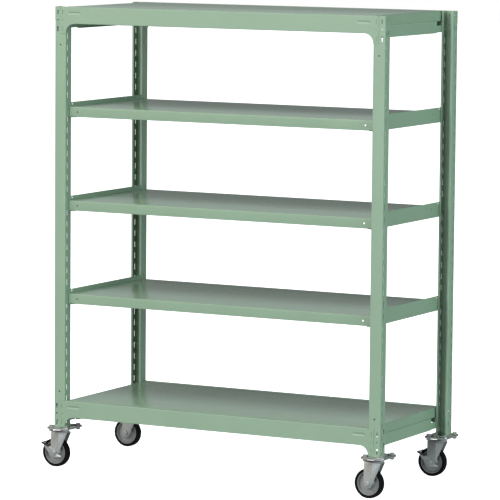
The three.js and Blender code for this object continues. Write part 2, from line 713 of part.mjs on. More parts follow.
const bracket = surface(bracketBody());
for (const [name, steps] of Object.entries(shelfSteps)) {
  const z = postFoot + shelfLevel(steps);
  addPart(frame, `bracket_${name}_left`, bracket, sagePaint(), -innerWebX, 0, z);
  addPart(frame, `bracket_${name}_right`, bracket, sagePaint(), innerWebX, 0, z, Math.PI);
  addPart(frame, `board_${name}`, board, shelfPaint(), 0, 0, z);
}

const adapter = surface(adapterBody());
const casterPlate = surface(casterPlateBody());
const kingpin = surface(kingpinBody());
const fork = surface(forkBody());
const rim = surface(rimBody());
const tyre = surface(tyreBody());
const lever = surface(brakeLeverBody());
for (const { name, x, y, turn, brake } of corners) {
  addPart(frame, `adapter_${name}`, adapter, darkSteel(), x * postX, y * casterY, postFoot, turn);
  addPart(frame, `castor_plate_${name}`, casterPlate, zincPlate(), x * postX, y * casterY);
  addPart(frame, `kingpin_${name}`, kingpin, zincPlate(), x * postX, y * casterY);
  const swivel = new THREE.Group();
  swivel.name = `swivel_${name}`;
  swivel.position.set(x * postX, y * casterY, 0);
  shelving.add(swivel);
  addPart(swivel, `fork_${name}`, fork, zincPlate());
  addPart(swivel, `axle_${name}`, surface(axleBody(!brake)), zincPlate(), -trail, 0, wheelRadius);
  addPart(swivel, `rim_${name}`, rim, zincPlate(), -trail, 0, wheelRadius);
  addPart(swivel, `tyre_${name}`, tyre, blackRubber(), -trail, 0, wheelRadius);
  if (brake) addPart(swivel, `brake_lever_${name}`, lever, darkSteel(), -trail, 0, wheelRadius);
}

// The castors all trail towards -x, so the outline's middle lies beside the middle of the posts
const middle = new THREE.Box3().setFromObject(shelving).getCenter(new THREE.Vector3());
shelving.position.x = -middle.x;

export default shelving;
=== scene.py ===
"""Mobile shelving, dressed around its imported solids: folded painted steel, zinc-plated castors, rubber."""
import math

import bmesh
import bpy
from bpy.props import FloatProperty, FloatVectorProperty, IntProperty, PointerProperty
from mathutils import Matrix, Vector


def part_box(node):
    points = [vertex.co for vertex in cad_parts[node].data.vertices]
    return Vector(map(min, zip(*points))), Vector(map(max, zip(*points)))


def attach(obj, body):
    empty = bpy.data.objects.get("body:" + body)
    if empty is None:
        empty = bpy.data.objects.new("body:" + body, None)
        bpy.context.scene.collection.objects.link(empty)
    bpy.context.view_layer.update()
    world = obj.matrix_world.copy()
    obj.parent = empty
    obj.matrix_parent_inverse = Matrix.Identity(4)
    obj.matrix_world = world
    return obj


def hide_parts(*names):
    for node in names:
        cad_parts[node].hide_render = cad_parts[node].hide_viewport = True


bl_info = {
    "name": "Mobile Shelving",
    "version": (1, 0, 0),
    "blender": (4, 5, 0),
    "location": "3D View > Sidebar > Shelving",
    "description": "Builds the folded steel, castors, fasteners and finishes of a mobile shelving unit",
    "category": "Object",
}

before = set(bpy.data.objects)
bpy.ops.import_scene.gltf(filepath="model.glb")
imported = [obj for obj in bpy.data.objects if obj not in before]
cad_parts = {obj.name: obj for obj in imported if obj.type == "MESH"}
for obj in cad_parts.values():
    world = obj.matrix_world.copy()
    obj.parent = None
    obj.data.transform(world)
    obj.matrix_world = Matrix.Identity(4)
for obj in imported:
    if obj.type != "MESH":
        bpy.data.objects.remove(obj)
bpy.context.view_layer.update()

CORNERS = ("front_left", "front_right", "rear_left", "rear_right")
BRAKED = ("front_left", "rear_right")
BOTH_WEBS_SLOTTED = ("front_left", "rear_right")
LEVELS = ("top", "upper", "middle", "lower", "bottom")
HOOKED_LEVELS = ("upper", "middle", "lower")
FRAMED_LEVELS = ("top", "bottom")


def box_middle(name):
    """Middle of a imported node's box, in metres."""
    low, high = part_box(name)
    return (low + high) / 2


def box_size(name):
    """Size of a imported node's box, in metres."""
    low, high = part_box(name)
    return high - low


MIDDLE_X = (box_middle("post_front_left").x + box_middle("post_front_right").x) / 2
FRAME_HALF_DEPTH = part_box("post_rear_left")[1].y
FRAME_HALF_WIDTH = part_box("post_front_right")[1].x - MIDDLE_X
POST_FACE, POST_WEB, POST_LENGTH = box_size("post_front_left")
POST_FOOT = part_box("post_front_left")[0].z
INNER_WEB = FRAME_HALF_WIDTH - POST_FACE
BOARD_HALF_WIDTH = box_size("board_top").x / 2
BOARD_HALF_DEPTH = box_size("board_top").y / 2
BOARD_HEIGHT = box_size("board_top").z
WHEEL_RADIUS = box_size("tyre_front_left").x / 2
TYRE_WIDTH = box_size("tyre_front_left").y
RIM_RADIUS = box_size("rim_front_left").x / 2
HUB_WIDTH = box_size("rim_front_left").y
PLATE_WIDTH, PLATE_DEPTH = box_size("adapter_front_left").xy
CASTOR_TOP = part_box("kingpin_front_left")[1].z
LEVEL_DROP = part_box("board_top")[1].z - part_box("board_bottom")[1].z


class ShelvingSizes(bpy.types.PropertyGroup):
    """Sizes of the sheet, the punched holes, the castors and the fasteners"""

    post_sheet: FloatProperty(
        name="Post sheet", description="Thickness of the post steel", default=0.002, unit="LENGTH")
    beam_sheet: FloatProperty(
        name="Beam sheet", description="Thickness of the beam steel", default=0.0016, unit="LENGTH")
    board_sheet: FloatProperty(
        name="Board sheet", description="Thickness of the board steel", default=0.0012, unit="LENGTH")
    bracket_sheet: FloatProperty(
        name="Bracket sheet", description="Thickness of brackets and side beams", default=0.002,
        unit="LENGTH")
    inside_bend: FloatProperty(
        name="Inside bend", description="Inside radius of the folds", default=0.0012, unit="LENGTH")
    slot_pitch: FloatProperty(
        name="Slot pitch", description="Distance from one post slot to the next", default=0.05,
        unit="LENGTH")
    slot_count: IntProperty(
        name="Slot count", description="Slots in one post web", default=36)
    slot_length: FloatProperty(
        name="Slot length", description="Height of a post slot", default=0.026, unit="LENGTH")
    slot_width: FloatProperty(
        name="Slot width", description="Width of a post slot", default=0.005, unit="LENGTH")
    slot_corner: FloatProperty(
        name="Slot corner", description="Corner radius of the punched slots", default=0.0018,
        unit="LENGTH")
    bead_width: FloatProperty(
        name="Bead width", description="Height of the groove pressed into a beam", default=0.0135,
        unit="LENGTH")
    bead_depth: FloatProperty(
        name="Bead depth", description="Depth of the groove pressed into a beam", default=0.0028,
        unit="LENGTH")
    bolt_pitch_x: FloatProperty(
        name="Bolt pitch along", description="Distance of the plate bolts along the shelves",
        default=0.076, unit="LENGTH")
    bolt_pitch_y: FloatProperty(
        name="Bolt pitch across", description="Distance of the plate bolts front to rear",
        default=0.098, unit="LENGTH")
    bolt_radius: FloatProperty(
        name="Bolt radius", description="Radius of a plate bolt's thread", default=0.005, unit="LENGTH")
    weld_radius: FloatProperty(
        name="Weld radius", description="Radius of a weld seam", default=0.0016, unit="LENGTH")
    weld_spacing: FloatProperty(
        name="Weld spacing", description="Distance between the ripples of a weld", default=0.0013,
        unit="LENGTH")


class ShelvingColours(bpy.types.PropertyGroup):
    """Colours of the finishes"""

    frame_paint: FloatVectorProperty(
        name="Frame paint", description="Powder coat on posts, beams and brackets",
        default=(0.228, 0.318, 0.222), size=3, subtype="COLOR", min=0, max=1)
    shelf_paint: FloatVectorProperty(
        name="Shelf paint", description="Glossier powder coat on the boards",
        default=(0.228, 0.318, 0.222), size=3, subtype="COLOR", min=0, max=1)
    zinc: FloatVectorProperty(
        name="Zinc plate", description="Zinc plating of the castor steel",
        default=(0.37, 0.37, 0.352), size=3, subtype="COLOR", min=0, max=1)
    bolt_steel: FloatVectorProperty(
        name="Bolt steel", description="Darker plating of the fasteners",
        default=(0.38, 0.375, 0.35), size=3, subtype="COLOR", min=0, max=1)
    wheel_steel: FloatVectorProperty(
        name="Wheel steel", description="Duller plating of the pressed disc wheels",
        default=(0.27, 0.27, 0.26), size=3, subtype="COLOR", min=0, max=1)
    adapter_steel: FloatVectorProperty(
        name="Adapter steel", description="Dull plating of the foot adapters",
        default=(0.45, 0.45, 0.44), size=3, subtype="COLOR", min=0, max=1)
    dark_steel: FloatVectorProperty(
        name="Dark steel", description="Dark coating of the brake levers' foot grips",
        default=(0.02, 0.02, 0.021), size=3, subtype="COLOR", min=0, max=1)
    rubber: FloatVectorProperty(
        name="Rubber", description="Solid rubber of the tyres",
        default=(0.003, 0.003, 0.0032), size=3, subtype="COLOR", min=0, max=1)
    floor: FloatVectorProperty(
        name="Floor", description="Pale floor under the unit",
        default=(0.9, 0.9, 0.9), size=3, subtype="COLOR", min=0, max=1)


# Materials

FRAME_PAINT_ROUGHNESS, SHELF_PAINT_ROUGHNESS = 0.42, 0.2
FRAME_WAVE_DEPTH, SHELF_WAVE_DEPTH = 0.0001, 0.0004
ZINC_ROUGHNESS, BOLT_ROUGHNESS, WHEEL_ROUGHNESS, ZINC_METALLIC = 0.46, 0.34, 0.42, 0.5
ADAPTER_ROUGHNESS, ADAPTER_METALLIC = 0.08, 1.0
GRIP_ROUGHNESS, GRIP_METALLIC = 0.45, 0.1
PEEL_DEPTH, STREAK_DEPTH, WEAR_DEPTH, GRAIN_DEPTH = 0.00003, 0.00003, 0.00005, 0.00006
GLOW_ROUGHNESS = 0.9


def finished(name, fill, *settings):
    """A material by name, whose nodes a function fills in when it is first asked for."""
    material = bpy.data.materials.get(name)
    if material is None:
        material = bpy.data.materials.new(name)
        material.use_nodes = True
        tree = material.node_tree
        fill(tree, tree.nodes["Principled BSDF"], *settings)
    return material


def object_pattern(tree, kind, stretch=(1, 1, 1), **settings):
    """A texture node on stretched Object coordinates."""
    place = tree.nodes.new("ShaderNodeTexCoord")
    mapping = tree.nodes.new("ShaderNodeMapping")
    mapping.inputs["Scale"].default_value = stretch
    pattern = tree.nodes.new(kind)
    for name, value in settings.items():
        pattern.inputs[name].default_value = value
    tree.links.new(place.outputs["Object"], mapping.inputs["Vector"])
    tree.links.new(mapping.outputs["Vector"], pattern.inputs["Vector"])
    return pattern


def ramp(tree, source, low, high, low_at=0.3, high_at=0.7):
    """A colour ramp between two colours, driven by a 0 to 1 output."""
    blend = tree.nodes.new("ShaderNodeValToRGB")
    ends = blend.color_ramp.elements
    ends[0].position, ends[1].position = low_at, high_at
    ends[0].color, ends[1].color = (*low, 1), (*high, 1)
    tree.links.new(source, blend.inputs["Fac"])
    return blend.outputs["Color"]


def spread(tree, source, low, high):
    """A 0 to 1 output mapped to a range."""
    mapped = tree.nodes.new("ShaderNodeMapRange")
    mapped.inputs["To Min"].default_value = low
    mapped.inputs["To Max"].default_value = high
    tree.links.new(source, mapped.inputs["Value"])
    return mapped.outputs["Result"]


def bump(tree, shader, source, depth, strength=1.0, under=None):
    """Raises the surface by a pattern of the given depth in metres, over another bump if one is given."""
    raised = tree.nodes.new("ShaderNodeBump")
    raised.inputs["Distance"].default_value = depth
    raised.inputs["Strength"].default_value = strength
    tree.links.new(source, raised.inputs["Height"])
    if under:
        tree.links.new(under.outputs["Normal"], raised.inputs["Normal"])
    tree.links.new(raised.outputs["Normal"], shader.inputs["Normal"])
    return raised


def shade(colour, factor):
    """A colour made lighter or darker."""
    return tuple(min(1.0, c * factor) for c in colour)


def powder_coat(tree, shader, colour, roughness, wave_depth):
    """Powder coat: orange peel, the slight waves of thin sheet, faint clouding and an even sheen."""
    clouds = object_pattern(tree, "ShaderNodeTexNoise", Scale=3.0, Detail=4.0, Roughness=0.6)
    tree.links.new(ramp(tree, clouds.outputs["Fac"], shade(colour, 0.965), shade(colour, 1.035)),
                   shader.inputs["Base Color"])
    waves = object_pattern(tree, "ShaderNodeTexNoise", Scale=2.2, Detail=1.0)
    sheet_waves = bump(tree, shader, waves.outputs["Fac"], wave_depth)
    peel = object_pattern(tree, "ShaderNodeTexNoise", Scale=420.0, Detail=2.0, Roughness=0.5)
    bump(tree, shader, peel.outputs["Fac"], PEEL_DEPTH, 0.3, sheet_waves)
    tree.links.new(spread(tree, clouds.outputs["Fac"], roughness - 0.05, roughness + 0.05),
                   shader.inputs["Roughness"])
    shader.inputs["Specular IOR Level"].default_value = 0.5


def zinc_plate(tree, shader, colour, roughness):
    """Zinc plating: fine crystal mottle, drawn streaks and a dull metal sheen."""
    mottle = object_pattern(tree, "ShaderNodeTexVoronoi", Scale=160.0)
    tree.links.new(ramp(tree, mottle.outputs["Color"], shade(colour, 0.91), shade(colour, 1.08), 0.1, 0.9),
                   shader.inputs["Base Color"])
    streaks = object_pattern(tree, "ShaderNodeTexNoise", (1, 1, 9), Scale=130.0, Detail=3.0)
    tree.links.new(spread(tree, streaks.outputs["Fac"], roughness - 0.1, roughness + 0.12),
                   shader.inputs["Roughness"])
    bump(tree, shader, streaks.outputs["Fac"], STREAK_DEPTH, 0.3)
    shader.inputs["Metallic"].default_value = ZINC_METALLIC


def coated_steel(tree, shader, colour, roughness, metallic):
    """Coated or dull plated steel with a slightly uneven, rubbed surface."""
    wear = object_pattern(tree, "ShaderNodeTexNoise", Scale=45.0, Detail=6.0, Roughness=0.7)
    tree.links.new(ramp(tree, wear.outputs["Fac"], shade(colour, 0.8), shade(colour, 1.5)),
                   shader.inputs["Base Color"])
    tree.links.new(spread(tree, wear.outputs["Fac"], roughness - 0.06, roughness + 0.12),
                   shader.inputs["Roughness"])
    bump(tree, shader, wear.outputs["Fac"], WEAR_DEPTH, 0.4)
    shader.inputs["Metallic"].default_value = metallic


def solid_rubber(tree, shader, colour):
    """Matt solid rubber with a fine moulded grain and faint scuffs."""
    grain = object_pattern(tree, "ShaderNodeTexNoise", Scale=600.0, Detail=3.0)
    scuffs = object_pattern(tree, "ShaderNodeTexNoise", Scale=40.0, Detail=5.0)
    tree.links.new(ramp(tree, scuffs.outputs["Fac"], colour, shade(colour, 1.9), 0.45, 0.8),
                   shader.inputs["Base Color"])
    tree.links.new(spread(tree, scuffs.outputs["Fac"], 0.5, 0.75), shader.inputs["Roughness"])
    shader.inputs["Specular IOR Level"].default_value = 0.08
    bump(tree, shader, grain.outputs["Fac"], GRAIN_DEPTH, 0.5)


def glow(tree, shader, strength, colour=(0, 0, 0)):
    """A rough surface that gives off white light of the given strength."""
    shader.inputs["Base Color"].default_value = (*colour, 1)
    shader.inputs["Roughness"].default_value = GLOW_ROUGHNESS
    shader.inputs["Emission Color"].default_value = (1, 1, 1, 1)
    shader.inputs["Emission Strength"].default_value = strength


def pale_floor(tree, shader, strength, colour):
    """A glowing floor with a faint grain."""
    glow(tree, shader, strength, colour)
    grain = object_pattern(tree, "ShaderNodeTexNoise", Scale=2.0, Detail=3.0)
    tree.links.new(ramp(tree, grain.outputs["Fac"], shade(colour, 0.99), colour),
                   shader.inputs["Base Color"])


def finishes(context):
    """Every finish of the unit by its use, made on the first call."""
    colours = context.scene.shelving_colours
    table = {
        "sage_paint": ("frame_powder_coat", powder_coat, colours.frame_paint, FRAME_PAINT_ROUGHNESS,
                       FRAME_WAVE_DEPTH),
        "shelf_paint": ("shelf_powder_coat", powder_coat, colours.shelf_paint, SHELF_PAINT_ROUGHNESS,
                        SHELF_WAVE_DEPTH),
        "zinc": ("zinc_plated_steel", zinc_plate, colours.zinc, ZINC_ROUGHNESS),
        "bolts": ("plated_bolts", zinc_plate, colours.bolt_steel, BOLT_ROUGHNESS),
        "wheel": ("plated_wheel_disc", zinc_plate, colours.wheel_steel, WHEEL_ROUGHNESS),
        "adapter": ("dull_adapter_steel", coated_steel, colours.adapter_steel, ADAPTER_ROUGHNESS,
                    ADAPTER_METALLIC),
        "grip": ("dark_coated_steel", coated_steel, colours.dark_steel, GRIP_ROUGHNESS, GRIP_METALLIC),
        "rubber": ("solid_rubber", solid_rubber, colours.rubber),
    }
    return {use: finished(*made) for use, made in table.items()}


# Shapes, each a closed bmesh in metres

BEND_STEPS = 5
ARC_STEPS = 8
SMALL_TURN_STEPS, TURN_STEPS = 24, 56
SMOOTH_ANGLE = math.radians(38)
NEAR = 1e-6


def arc(centre, radius, start, end, steps=ARC_STEPS):
    """Points of an arc in a plane, with angles in radians."""
    angles = [start + (end - start) * step / steps for step in range(steps + 1)]
    return [(centre[0] + radius * math.cos(a), centre[1] + radius * math.sin(a)) for a in angles]


def folded(path, sheet, bend, steps=BEND_STEPS):
    """Closed outline of a sheet folded along a middle line, with round bends."""
    line = [Vector(point) for point in path]
    left, right, placed = [], [], []

    def put(point, normal):
        if placed and (placed[-1] - point).length < NEAR:
            return
        placed.append(point)
        left.append(tuple(point + normal * sheet / 2))
        right.append(tuple(point - normal * sheet / 2))

    for i, corner in enumerate(line):
        way_in = (corner - line[i - 1]).normalized() if i else None
        way_out = (line[i + 1] - corner).normalized() if i < len(line) - 1 else None
        if way_in is None or way_out is None:
            put(corner, (way_out if way_in is None else way_in).orthogonal())
            continue
        turn = math.atan2(way_in.cross(way_out), way_in.dot(way_out))
        start = corner - way_in * bend * math.tan(abs(turn) / 2)
        towards = math.copysign(bend, turn)
        centre = start + way_in.orthogonal() * towards
        for step in range(steps + 1):
            normal = Matrix.Rotation(turn * step / steps, 2) @ way_in.orthogonal()
            put(centre - normal * towards, normal)
    return left + right[::-1]


def carried(axis, across, up, along):
    """A point whose outline lies across an axis: (y, z) across x, (x, z) across y, (x, y) across z."""
    return {"x": (along, across, up), "y": (across, along, up), "z": (across, up, along)}[axis]


def lofted(rings):
    """A closed skin through rings of points, capped at both ends."""
    shape = bmesh.new()
    loops = [[shape.verts.new(point) for point in ring] for ring in rings]
    shape.faces.new(loops[0])
    shape.faces.new(loops[-1])
    for near, far in zip(loops, loops[1:]):
        for i, vertex in enumerate(near):
            shape.faces.new((vertex, near[i - 1], far[i - 1], far[i]))
    bmesh.ops.recalc_face_normals(shape, faces=shape.faces)
    return shape


def prism(outline, axis, start, end):
    """An outline carried along an axis."""
    return lofted([[carried(axis, u, v, along) for u, v in outline] for along in (start, end)])


def turned(profile, steps=TURN_STEPS):
    """A profile of (radius, height) turned about the z axis; one that leaves the axis closes on itself."""
    shape = bmesh.new()
    rings = []
    for radius, height in profile:
        if radius == 0:
            rings.append([shape.verts.new((0, 0, height))] * steps)
            continue
        angles = [math.tau * k / steps for k in range(steps)]
        rings.append([shape.verts.new((radius * math.cos(a), radius * math.sin(a), height)) for a in angles])
    closed = profile[0][0] != 0
    for i in range(0 if closed else 1, len(rings)):
        for k in range(steps):
            corners = [rings[i - 1][k], rings[i - 1][k - 1], rings[i][k - 1], rings[i][k]]
            face = list(dict.fromkeys(corners))
            if len(face) > 2:
                shape.faces.new(face)
    bmesh.ops.recalc_face_normals(shape, faces=shape.faces)
    return shape


def bent_sheet(outline, cuts_across, cuts_up, lift, sheet):
    """A sheet over an outline in x and z, whose middle lies at y = lift(x, z), cut finely where it bends."""
    shape = bmesh.new()
    shape.faces.new([shape.verts.new((x, 0, z)) for x, z in outline])
    for direction, places in (((1, 0, 0), cuts_across), ((0, 0, 1), cuts_up)):
        for place in places:
            bmesh.ops.bisect_plane(
                shape, geom=[*shape.verts, *shape.edges, *shape.faces],
                plane_co=Vector(direction) * place, plane_no=direction)
    rim = [edge for edge in shape.edges if edge.is_boundary]
    near = list(shape.verts)
    rim_ends = [tuple(edge.verts) for edge in rim]
    copied = bmesh.ops.duplicate(shape, geom=[*shape.verts, *shape.edges, *shape.faces])["vert_map"]
    for vertex in near:
        middle = lift(vertex.co.x, vertex.co.z)
        copied[vertex].co.y = middle + sheet / 2
        vertex.co.y = middle - sheet / 2
    for first, second in rim_ends:
        shape.faces.new((first, second, copied[second], copied[first]))
    bmesh.ops.recalc_face_normals(shape, faces=shape.faces)
    return shape


def joined(*shapes):
    """Several shapes as one."""
    whole = bmesh.new()
    for shape in shapes:
        mesh = bpy.data.meshes.new("shape")
        shape.to_mesh(mesh)
        whole.from_mesh(mesh)
        bpy.data.meshes.remove(mesh)
    return whole


def moved(shape, matrix):
    """A copy of a shape, placed by a matrix; a mirroring one has its faces turned back."""
    copy = shape.copy()
    bmesh.ops.transform(copy, matrix=matrix, verts=copy.verts)
    if matrix.determinant() < 0:
        bmesh.ops.reverse_faces(copy, faces=copy.faces)
    return copy


def at(x=0.0, y=0.0, z=0.0, turn=0.0):
    """A place: moved to a point after a turn about z."""
    return Matrix.Translation((x, y, z)) @ Matrix.Rotation(turn, 4, "Z")


def mirrored(axis):
    """A mirror through the origin, along one axis."""
    return Matrix.Scale(-1, 4, Vector(carried(axis, 0, 0, 1)))


ALONG_Y = Matrix.Rotation(math.pi / 2, 4, "X")


def temporary(shape):
    """An object that only holds a shape while modifiers work on it."""
    mesh = bpy.data.meshes.new("temporary")
    shape.to_mesh(mesh)
    holder = bpy.data.objects.new("temporary", mesh)
    bpy.context.collection.objects.link(holder)
    return holder


def applied(holder):
    """The shape that a temporary object's modifiers leave; the object is removed."""
    graph = bpy.context.evaluated_depsgraph_get()
    mesh = bpy.data.meshes.new_from_object(holder.evaluated_get(graph), depsgraph=graph)
    shape = bmesh.new()
    shape.from_mesh(mesh)
    bpy.data.meshes.remove(mesh)
    bpy.data.objects.remove(holder)
    return shape


def softened(shape, width, segments=2):
    """A shape whose sharp edges are bevelled."""
    holder = temporary(shape)
    edge = holder.modifiers.new("edges", "BEVEL")
    edge.width, edge.segments, edge.limit_method = width, segments, "ANGLE"
    edge.angle_limit = SMOOTH_ANGLE
    return applied(holder)


def add_piece(name, shape, slot, body, material, *replaced):
    """Makes a shape into a smooth-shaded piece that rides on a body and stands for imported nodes."""
    mesh = bpy.data.meshes.new(name)
    shape.to_mesh(mesh)
    mesh.shade_smooth()
    mesh.set_sharp_from_angle(angle=SMOOTH_ANGLE)
    mesh.materials.append(material)
    piece = bpy.data.objects.new(name, mesh)
    bpy.context.collection.objects.link(piece)
    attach(piece, body)
    if replaced:
        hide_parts(*replaced)
    return piece


# Geometry Nodes

WELD_BEAD_SCALES = (0.85, 1.15)


def new_tree(name, inputs):
    """A Geometry Nodes tree with a geometry in and out, and its named inputs."""
    tree = bpy.data.node_groups.new(name, "GeometryNodeTree")
    tree.interface.new_socket(name="Geometry", in_out="OUTPUT", socket_type="NodeSocketGeometry")
    tree.interface.new_socket(name="Geometry", in_out="INPUT", socket_type="NodeSocketGeometry")
    for label, kind in inputs.items():
        tree.interface.new_socket(name=label, in_out="INPUT", socket_type=f"NodeSocket{kind}")
    return tree, tree.nodes.new("NodeGroupInput").outputs


def node(tree, kind, settings=None, **links):
    """A node with its settings, whose inputs are linked to outputs or given values."""
    made = tree.nodes.new(f"GeometryNode{kind}" if not kind.startswith("Function") else kind)
    for name, value in (settings or {}).items():
        setattr(made, name, value)
    for name, source in links.items():
        socket = made.inputs[name.replace("_", " ")]
        if isinstance(source, bpy.types.NodeSocket):
            tree.links.new(source, socket)
        else:
            socket.default_value = source
    return made


def end_tree(tree, geometry, material):
    """Ends a tree in real geometry with its material."""
    real = node(tree, "RealizeInstances", Geometry=geometry)
    coated = node(tree, "SetMaterial", Geometry=real.outputs[0], Material=material)
    out = tree.nodes.new("NodeGroupOutput")
    tree.links.new(coated.outputs[0], out.inputs[0])
    return tree


def end_with_copies(tree, given, copies):
    """Ends a tree in what came in and the copies that were added to it."""
    both = node(tree, "JoinGeometry")
    for source in (given["Geometry"], copies.outputs[0]):
        tree.links.new(source, both.inputs[0])
    return end_tree(tree, both.outputs[0], given["Material"])


def tree_from(build):
    """The tree that a function builds under its own name, built on its first use."""
    return bpy.data.node_groups.get(build.__name__) or build(build.__name__)


def add_tree(holder, tree, values):
    """Puts a tree on an object, with its inputs set by their sockets' identifiers."""
    step = holder.modifiers.new(tree.name, "NODES")
    step.node_group = tree
    for item in tree.interface.items_tree:
        if item.in_out == "INPUT" and item.name in values:
            step[item.identifier] = values[item.name]


def with_trees(shape, build, steps, material):
    """A shape after the tree that a function builds has worked on it, once for each set of inputs."""
    holder = temporary(shape)
    for values in steps:
        add_tree(holder, tree_from(build), {**values, "Material": material})
    return applied(holder)


def punched_row(name):
    """Cuts a row of round-cornered holes through a sheet."""
    tree, given = new_tree(name, {
        "Start": "Vector", "Step": "Vector", "Turn": "Rotation", "Count": "Int", "Width": "Float",
        "Length": "Float", "Corner": "Float", "Depth": "Float", "Material": "Material"})
    rectangle = node(tree, "CurvePrimitiveQuadrilateral", Width=given["Width"], Height=given["Length"])
    outline = node(tree, "FilletCurve", {"mode": "POLY"}, Curve=rectangle.outputs[0], Count=4,
                   Radius=given["Corner"], Limit_Radius=True)
    depth = tree.nodes.new("ShaderNodeCombineXYZ")
    tree.links.new(given["Depth"], depth.inputs["Z"])
    line = node(tree, "CurvePrimitiveLine", Start=(0, 0, 0), End=depth.outputs[0])
    punch = node(tree, "CurveToMesh", Curve=line.outputs[0], Profile_Curve=outline.outputs[0],
                 Fill_Caps=True)
    places = node(tree, "MeshLine", Count=given["Count"], Start_Location=given["Start"],
                  Offset=given["Step"])
    punches = node(tree, "InstanceOnPoints", Points=places.outputs[0], Instance=punch.outputs[0],
                   Rotation=given["Turn"])
    cutters = node(tree, "RealizeInstances", Geometry=punches.outputs[0])
    cut = tree.nodes.new("GeometryNodeMeshBoolean")
    cut.operation, cut.solver = "DIFFERENCE", "EXACT"
    tree.links.new(given["Geometry"], cut.inputs["Mesh 1"])
    tree.links.new(cutters.outputs[0], cut.inputs["Mesh 2"])
    return end_tree(tree, cut.outputs[0], given["Material"])


# Turns that point a punch along an axis, with its length upright
PUNCH_TURNS = {
    "x": (math.pi / 2, 0, math.pi / 2),
    "y": (math.pi / 2, 0, math.pi),
    "z": (0, 0, 0),
}


def row(axis, start, size, depth, step=(0, 0, 0), count=1, corner=None):
    """One row of holes for punched(): where it starts, its holes' width and length, and its spacing."""
    width, length = size
    return {"Start": start, "Step": step, "Turn": PUNCH_TURNS[axis], "Count": count, "Width": width,
            "Length": length, "Depth": depth, "Corner": min(width, length) / 2 if corner is None else corner}


def punched(shape, rows, material):
    """A shape with rows of holes punched through it."""
    result = with_trees(shape, punched_row, rows, material)
    bmesh.ops.remove_doubles(result, verts=result.verts, dist=NEAR)
    return result


def spot_welds(name):
    """Rows of shallow spot-weld marks below a board's stiffener."""
    tree, given = new_tree(name, {
        "Start": "Vector", "Step": "Vector", "Count": "Int", "Radius": "Float", "Height": "Float",
        "Material": "Material"})
    places = node(tree, "MeshLine", Count=given["Count"], Start_Location=given["Start"], Offset=given["Step"])
    mark = node(tree, "MeshCone", Vertices=14, Radius_Top=0.0, Radius_Bottom=given["Radius"],
                Depth=given["Height"])
    marks = node(tree, "InstanceOnPoints", Points=places.outputs[0], Instance=mark.outputs["Mesh"],
                 Rotation=(math.pi, 0, 0))
    return end_with_copies(tree, given, marks)


def weld_seam(name):
    """A rippled weld seam: overlapping beads along a line, each a little different."""
    tree, given = new_tree(name, {
        "Start": "Vector", "End": "Vector", "Spacing": "Float", "Radius": "Float", "Seed": "Int",
        "Material": "Material"})
    line = node(tree, "CurvePrimitiveLine", Start=given["Start"], End=given["End"])
    points = node(tree, "CurveToPoints", {"mode": "LENGTH"}, Curve=line.outputs[0],
                  Length=given["Spacing"])
    bead = node(tree, "MeshUVSphere", Segments=10, Rings=6, Radius=given["Radius"])
    sizes = node(tree, "FunctionNodeRandomValue", {"data_type": "FLOAT"})
    sizes.inputs[2].default_value, sizes.inputs[3].default_value = WELD_BEAD_SCALES
    tree.links.new(given["Seed"], sizes.inputs["Seed"])
    beads = node(tree, "InstanceOnPoints", Points=points.outputs[0], Instance=bead.outputs[0],
                 Scale=sizes.outputs[1])
    return end_with_copies(tree, given, beads)


def bolt_pattern(name):
    """A bolt repeated at the four corners of a plate."""
    tree, given = new_tree(name, {
        "Bolt": "Object", "Pitch Along": "Float", "Pitch Across": "Float", "Centre": "Vector",
        "Material": "Material"})
    grid = node(tree, "MeshGrid", Size_X=given["Pitch Along"], Size_Y=given["Pitch Across"],
                Vertices_X=2, Vertices_Y=2)
    placed = node(tree, "Transform", Geometry=grid.outputs[0], Translation=given["Centre"])
    bolt = node(tree, "ObjectInfo", Object=given["Bolt"])
    bolts = node(tree, "InstanceOnPoints", Points=placed.outputs[0], Instance=bolt.outputs["Geometry"])
    return end_with_copies(tree, given, bolts)


# Frame steel

SEAT = 0.0003
POST_LIP = 0.009
SLOT_INSET = 0.0165
FIRST_SLOT = 0.025
HOOKED_STEPS = (11, 8, 3)
HOLE_RADIUS = 0.0035
CENTRE_HOLES = (0.155, 1.639)
SIDE_COLUMN = 0.0345
SIDE_DOWEL_DROP = 0.014
SIDE_HOOK_DROP = 0.069
SIDE_HOOK_LENGTH = 0.020
FACE_COLUMN = 0.013
FACE_SLOT_WIDTH = 0.005
FACE_HEAD_WIDTH, FACE_HEAD_SHARE = 0.0076, 0.45
SIDE_SLOT_WIDTH = 0.007
FACE_CORNER = 0.0012
FACE_HOOKS = ((0.0235, 0.019), (0.0935, 0.022))
FACE_DOWEL_DROP = 0.056
PUNCH_REACH = 0.01


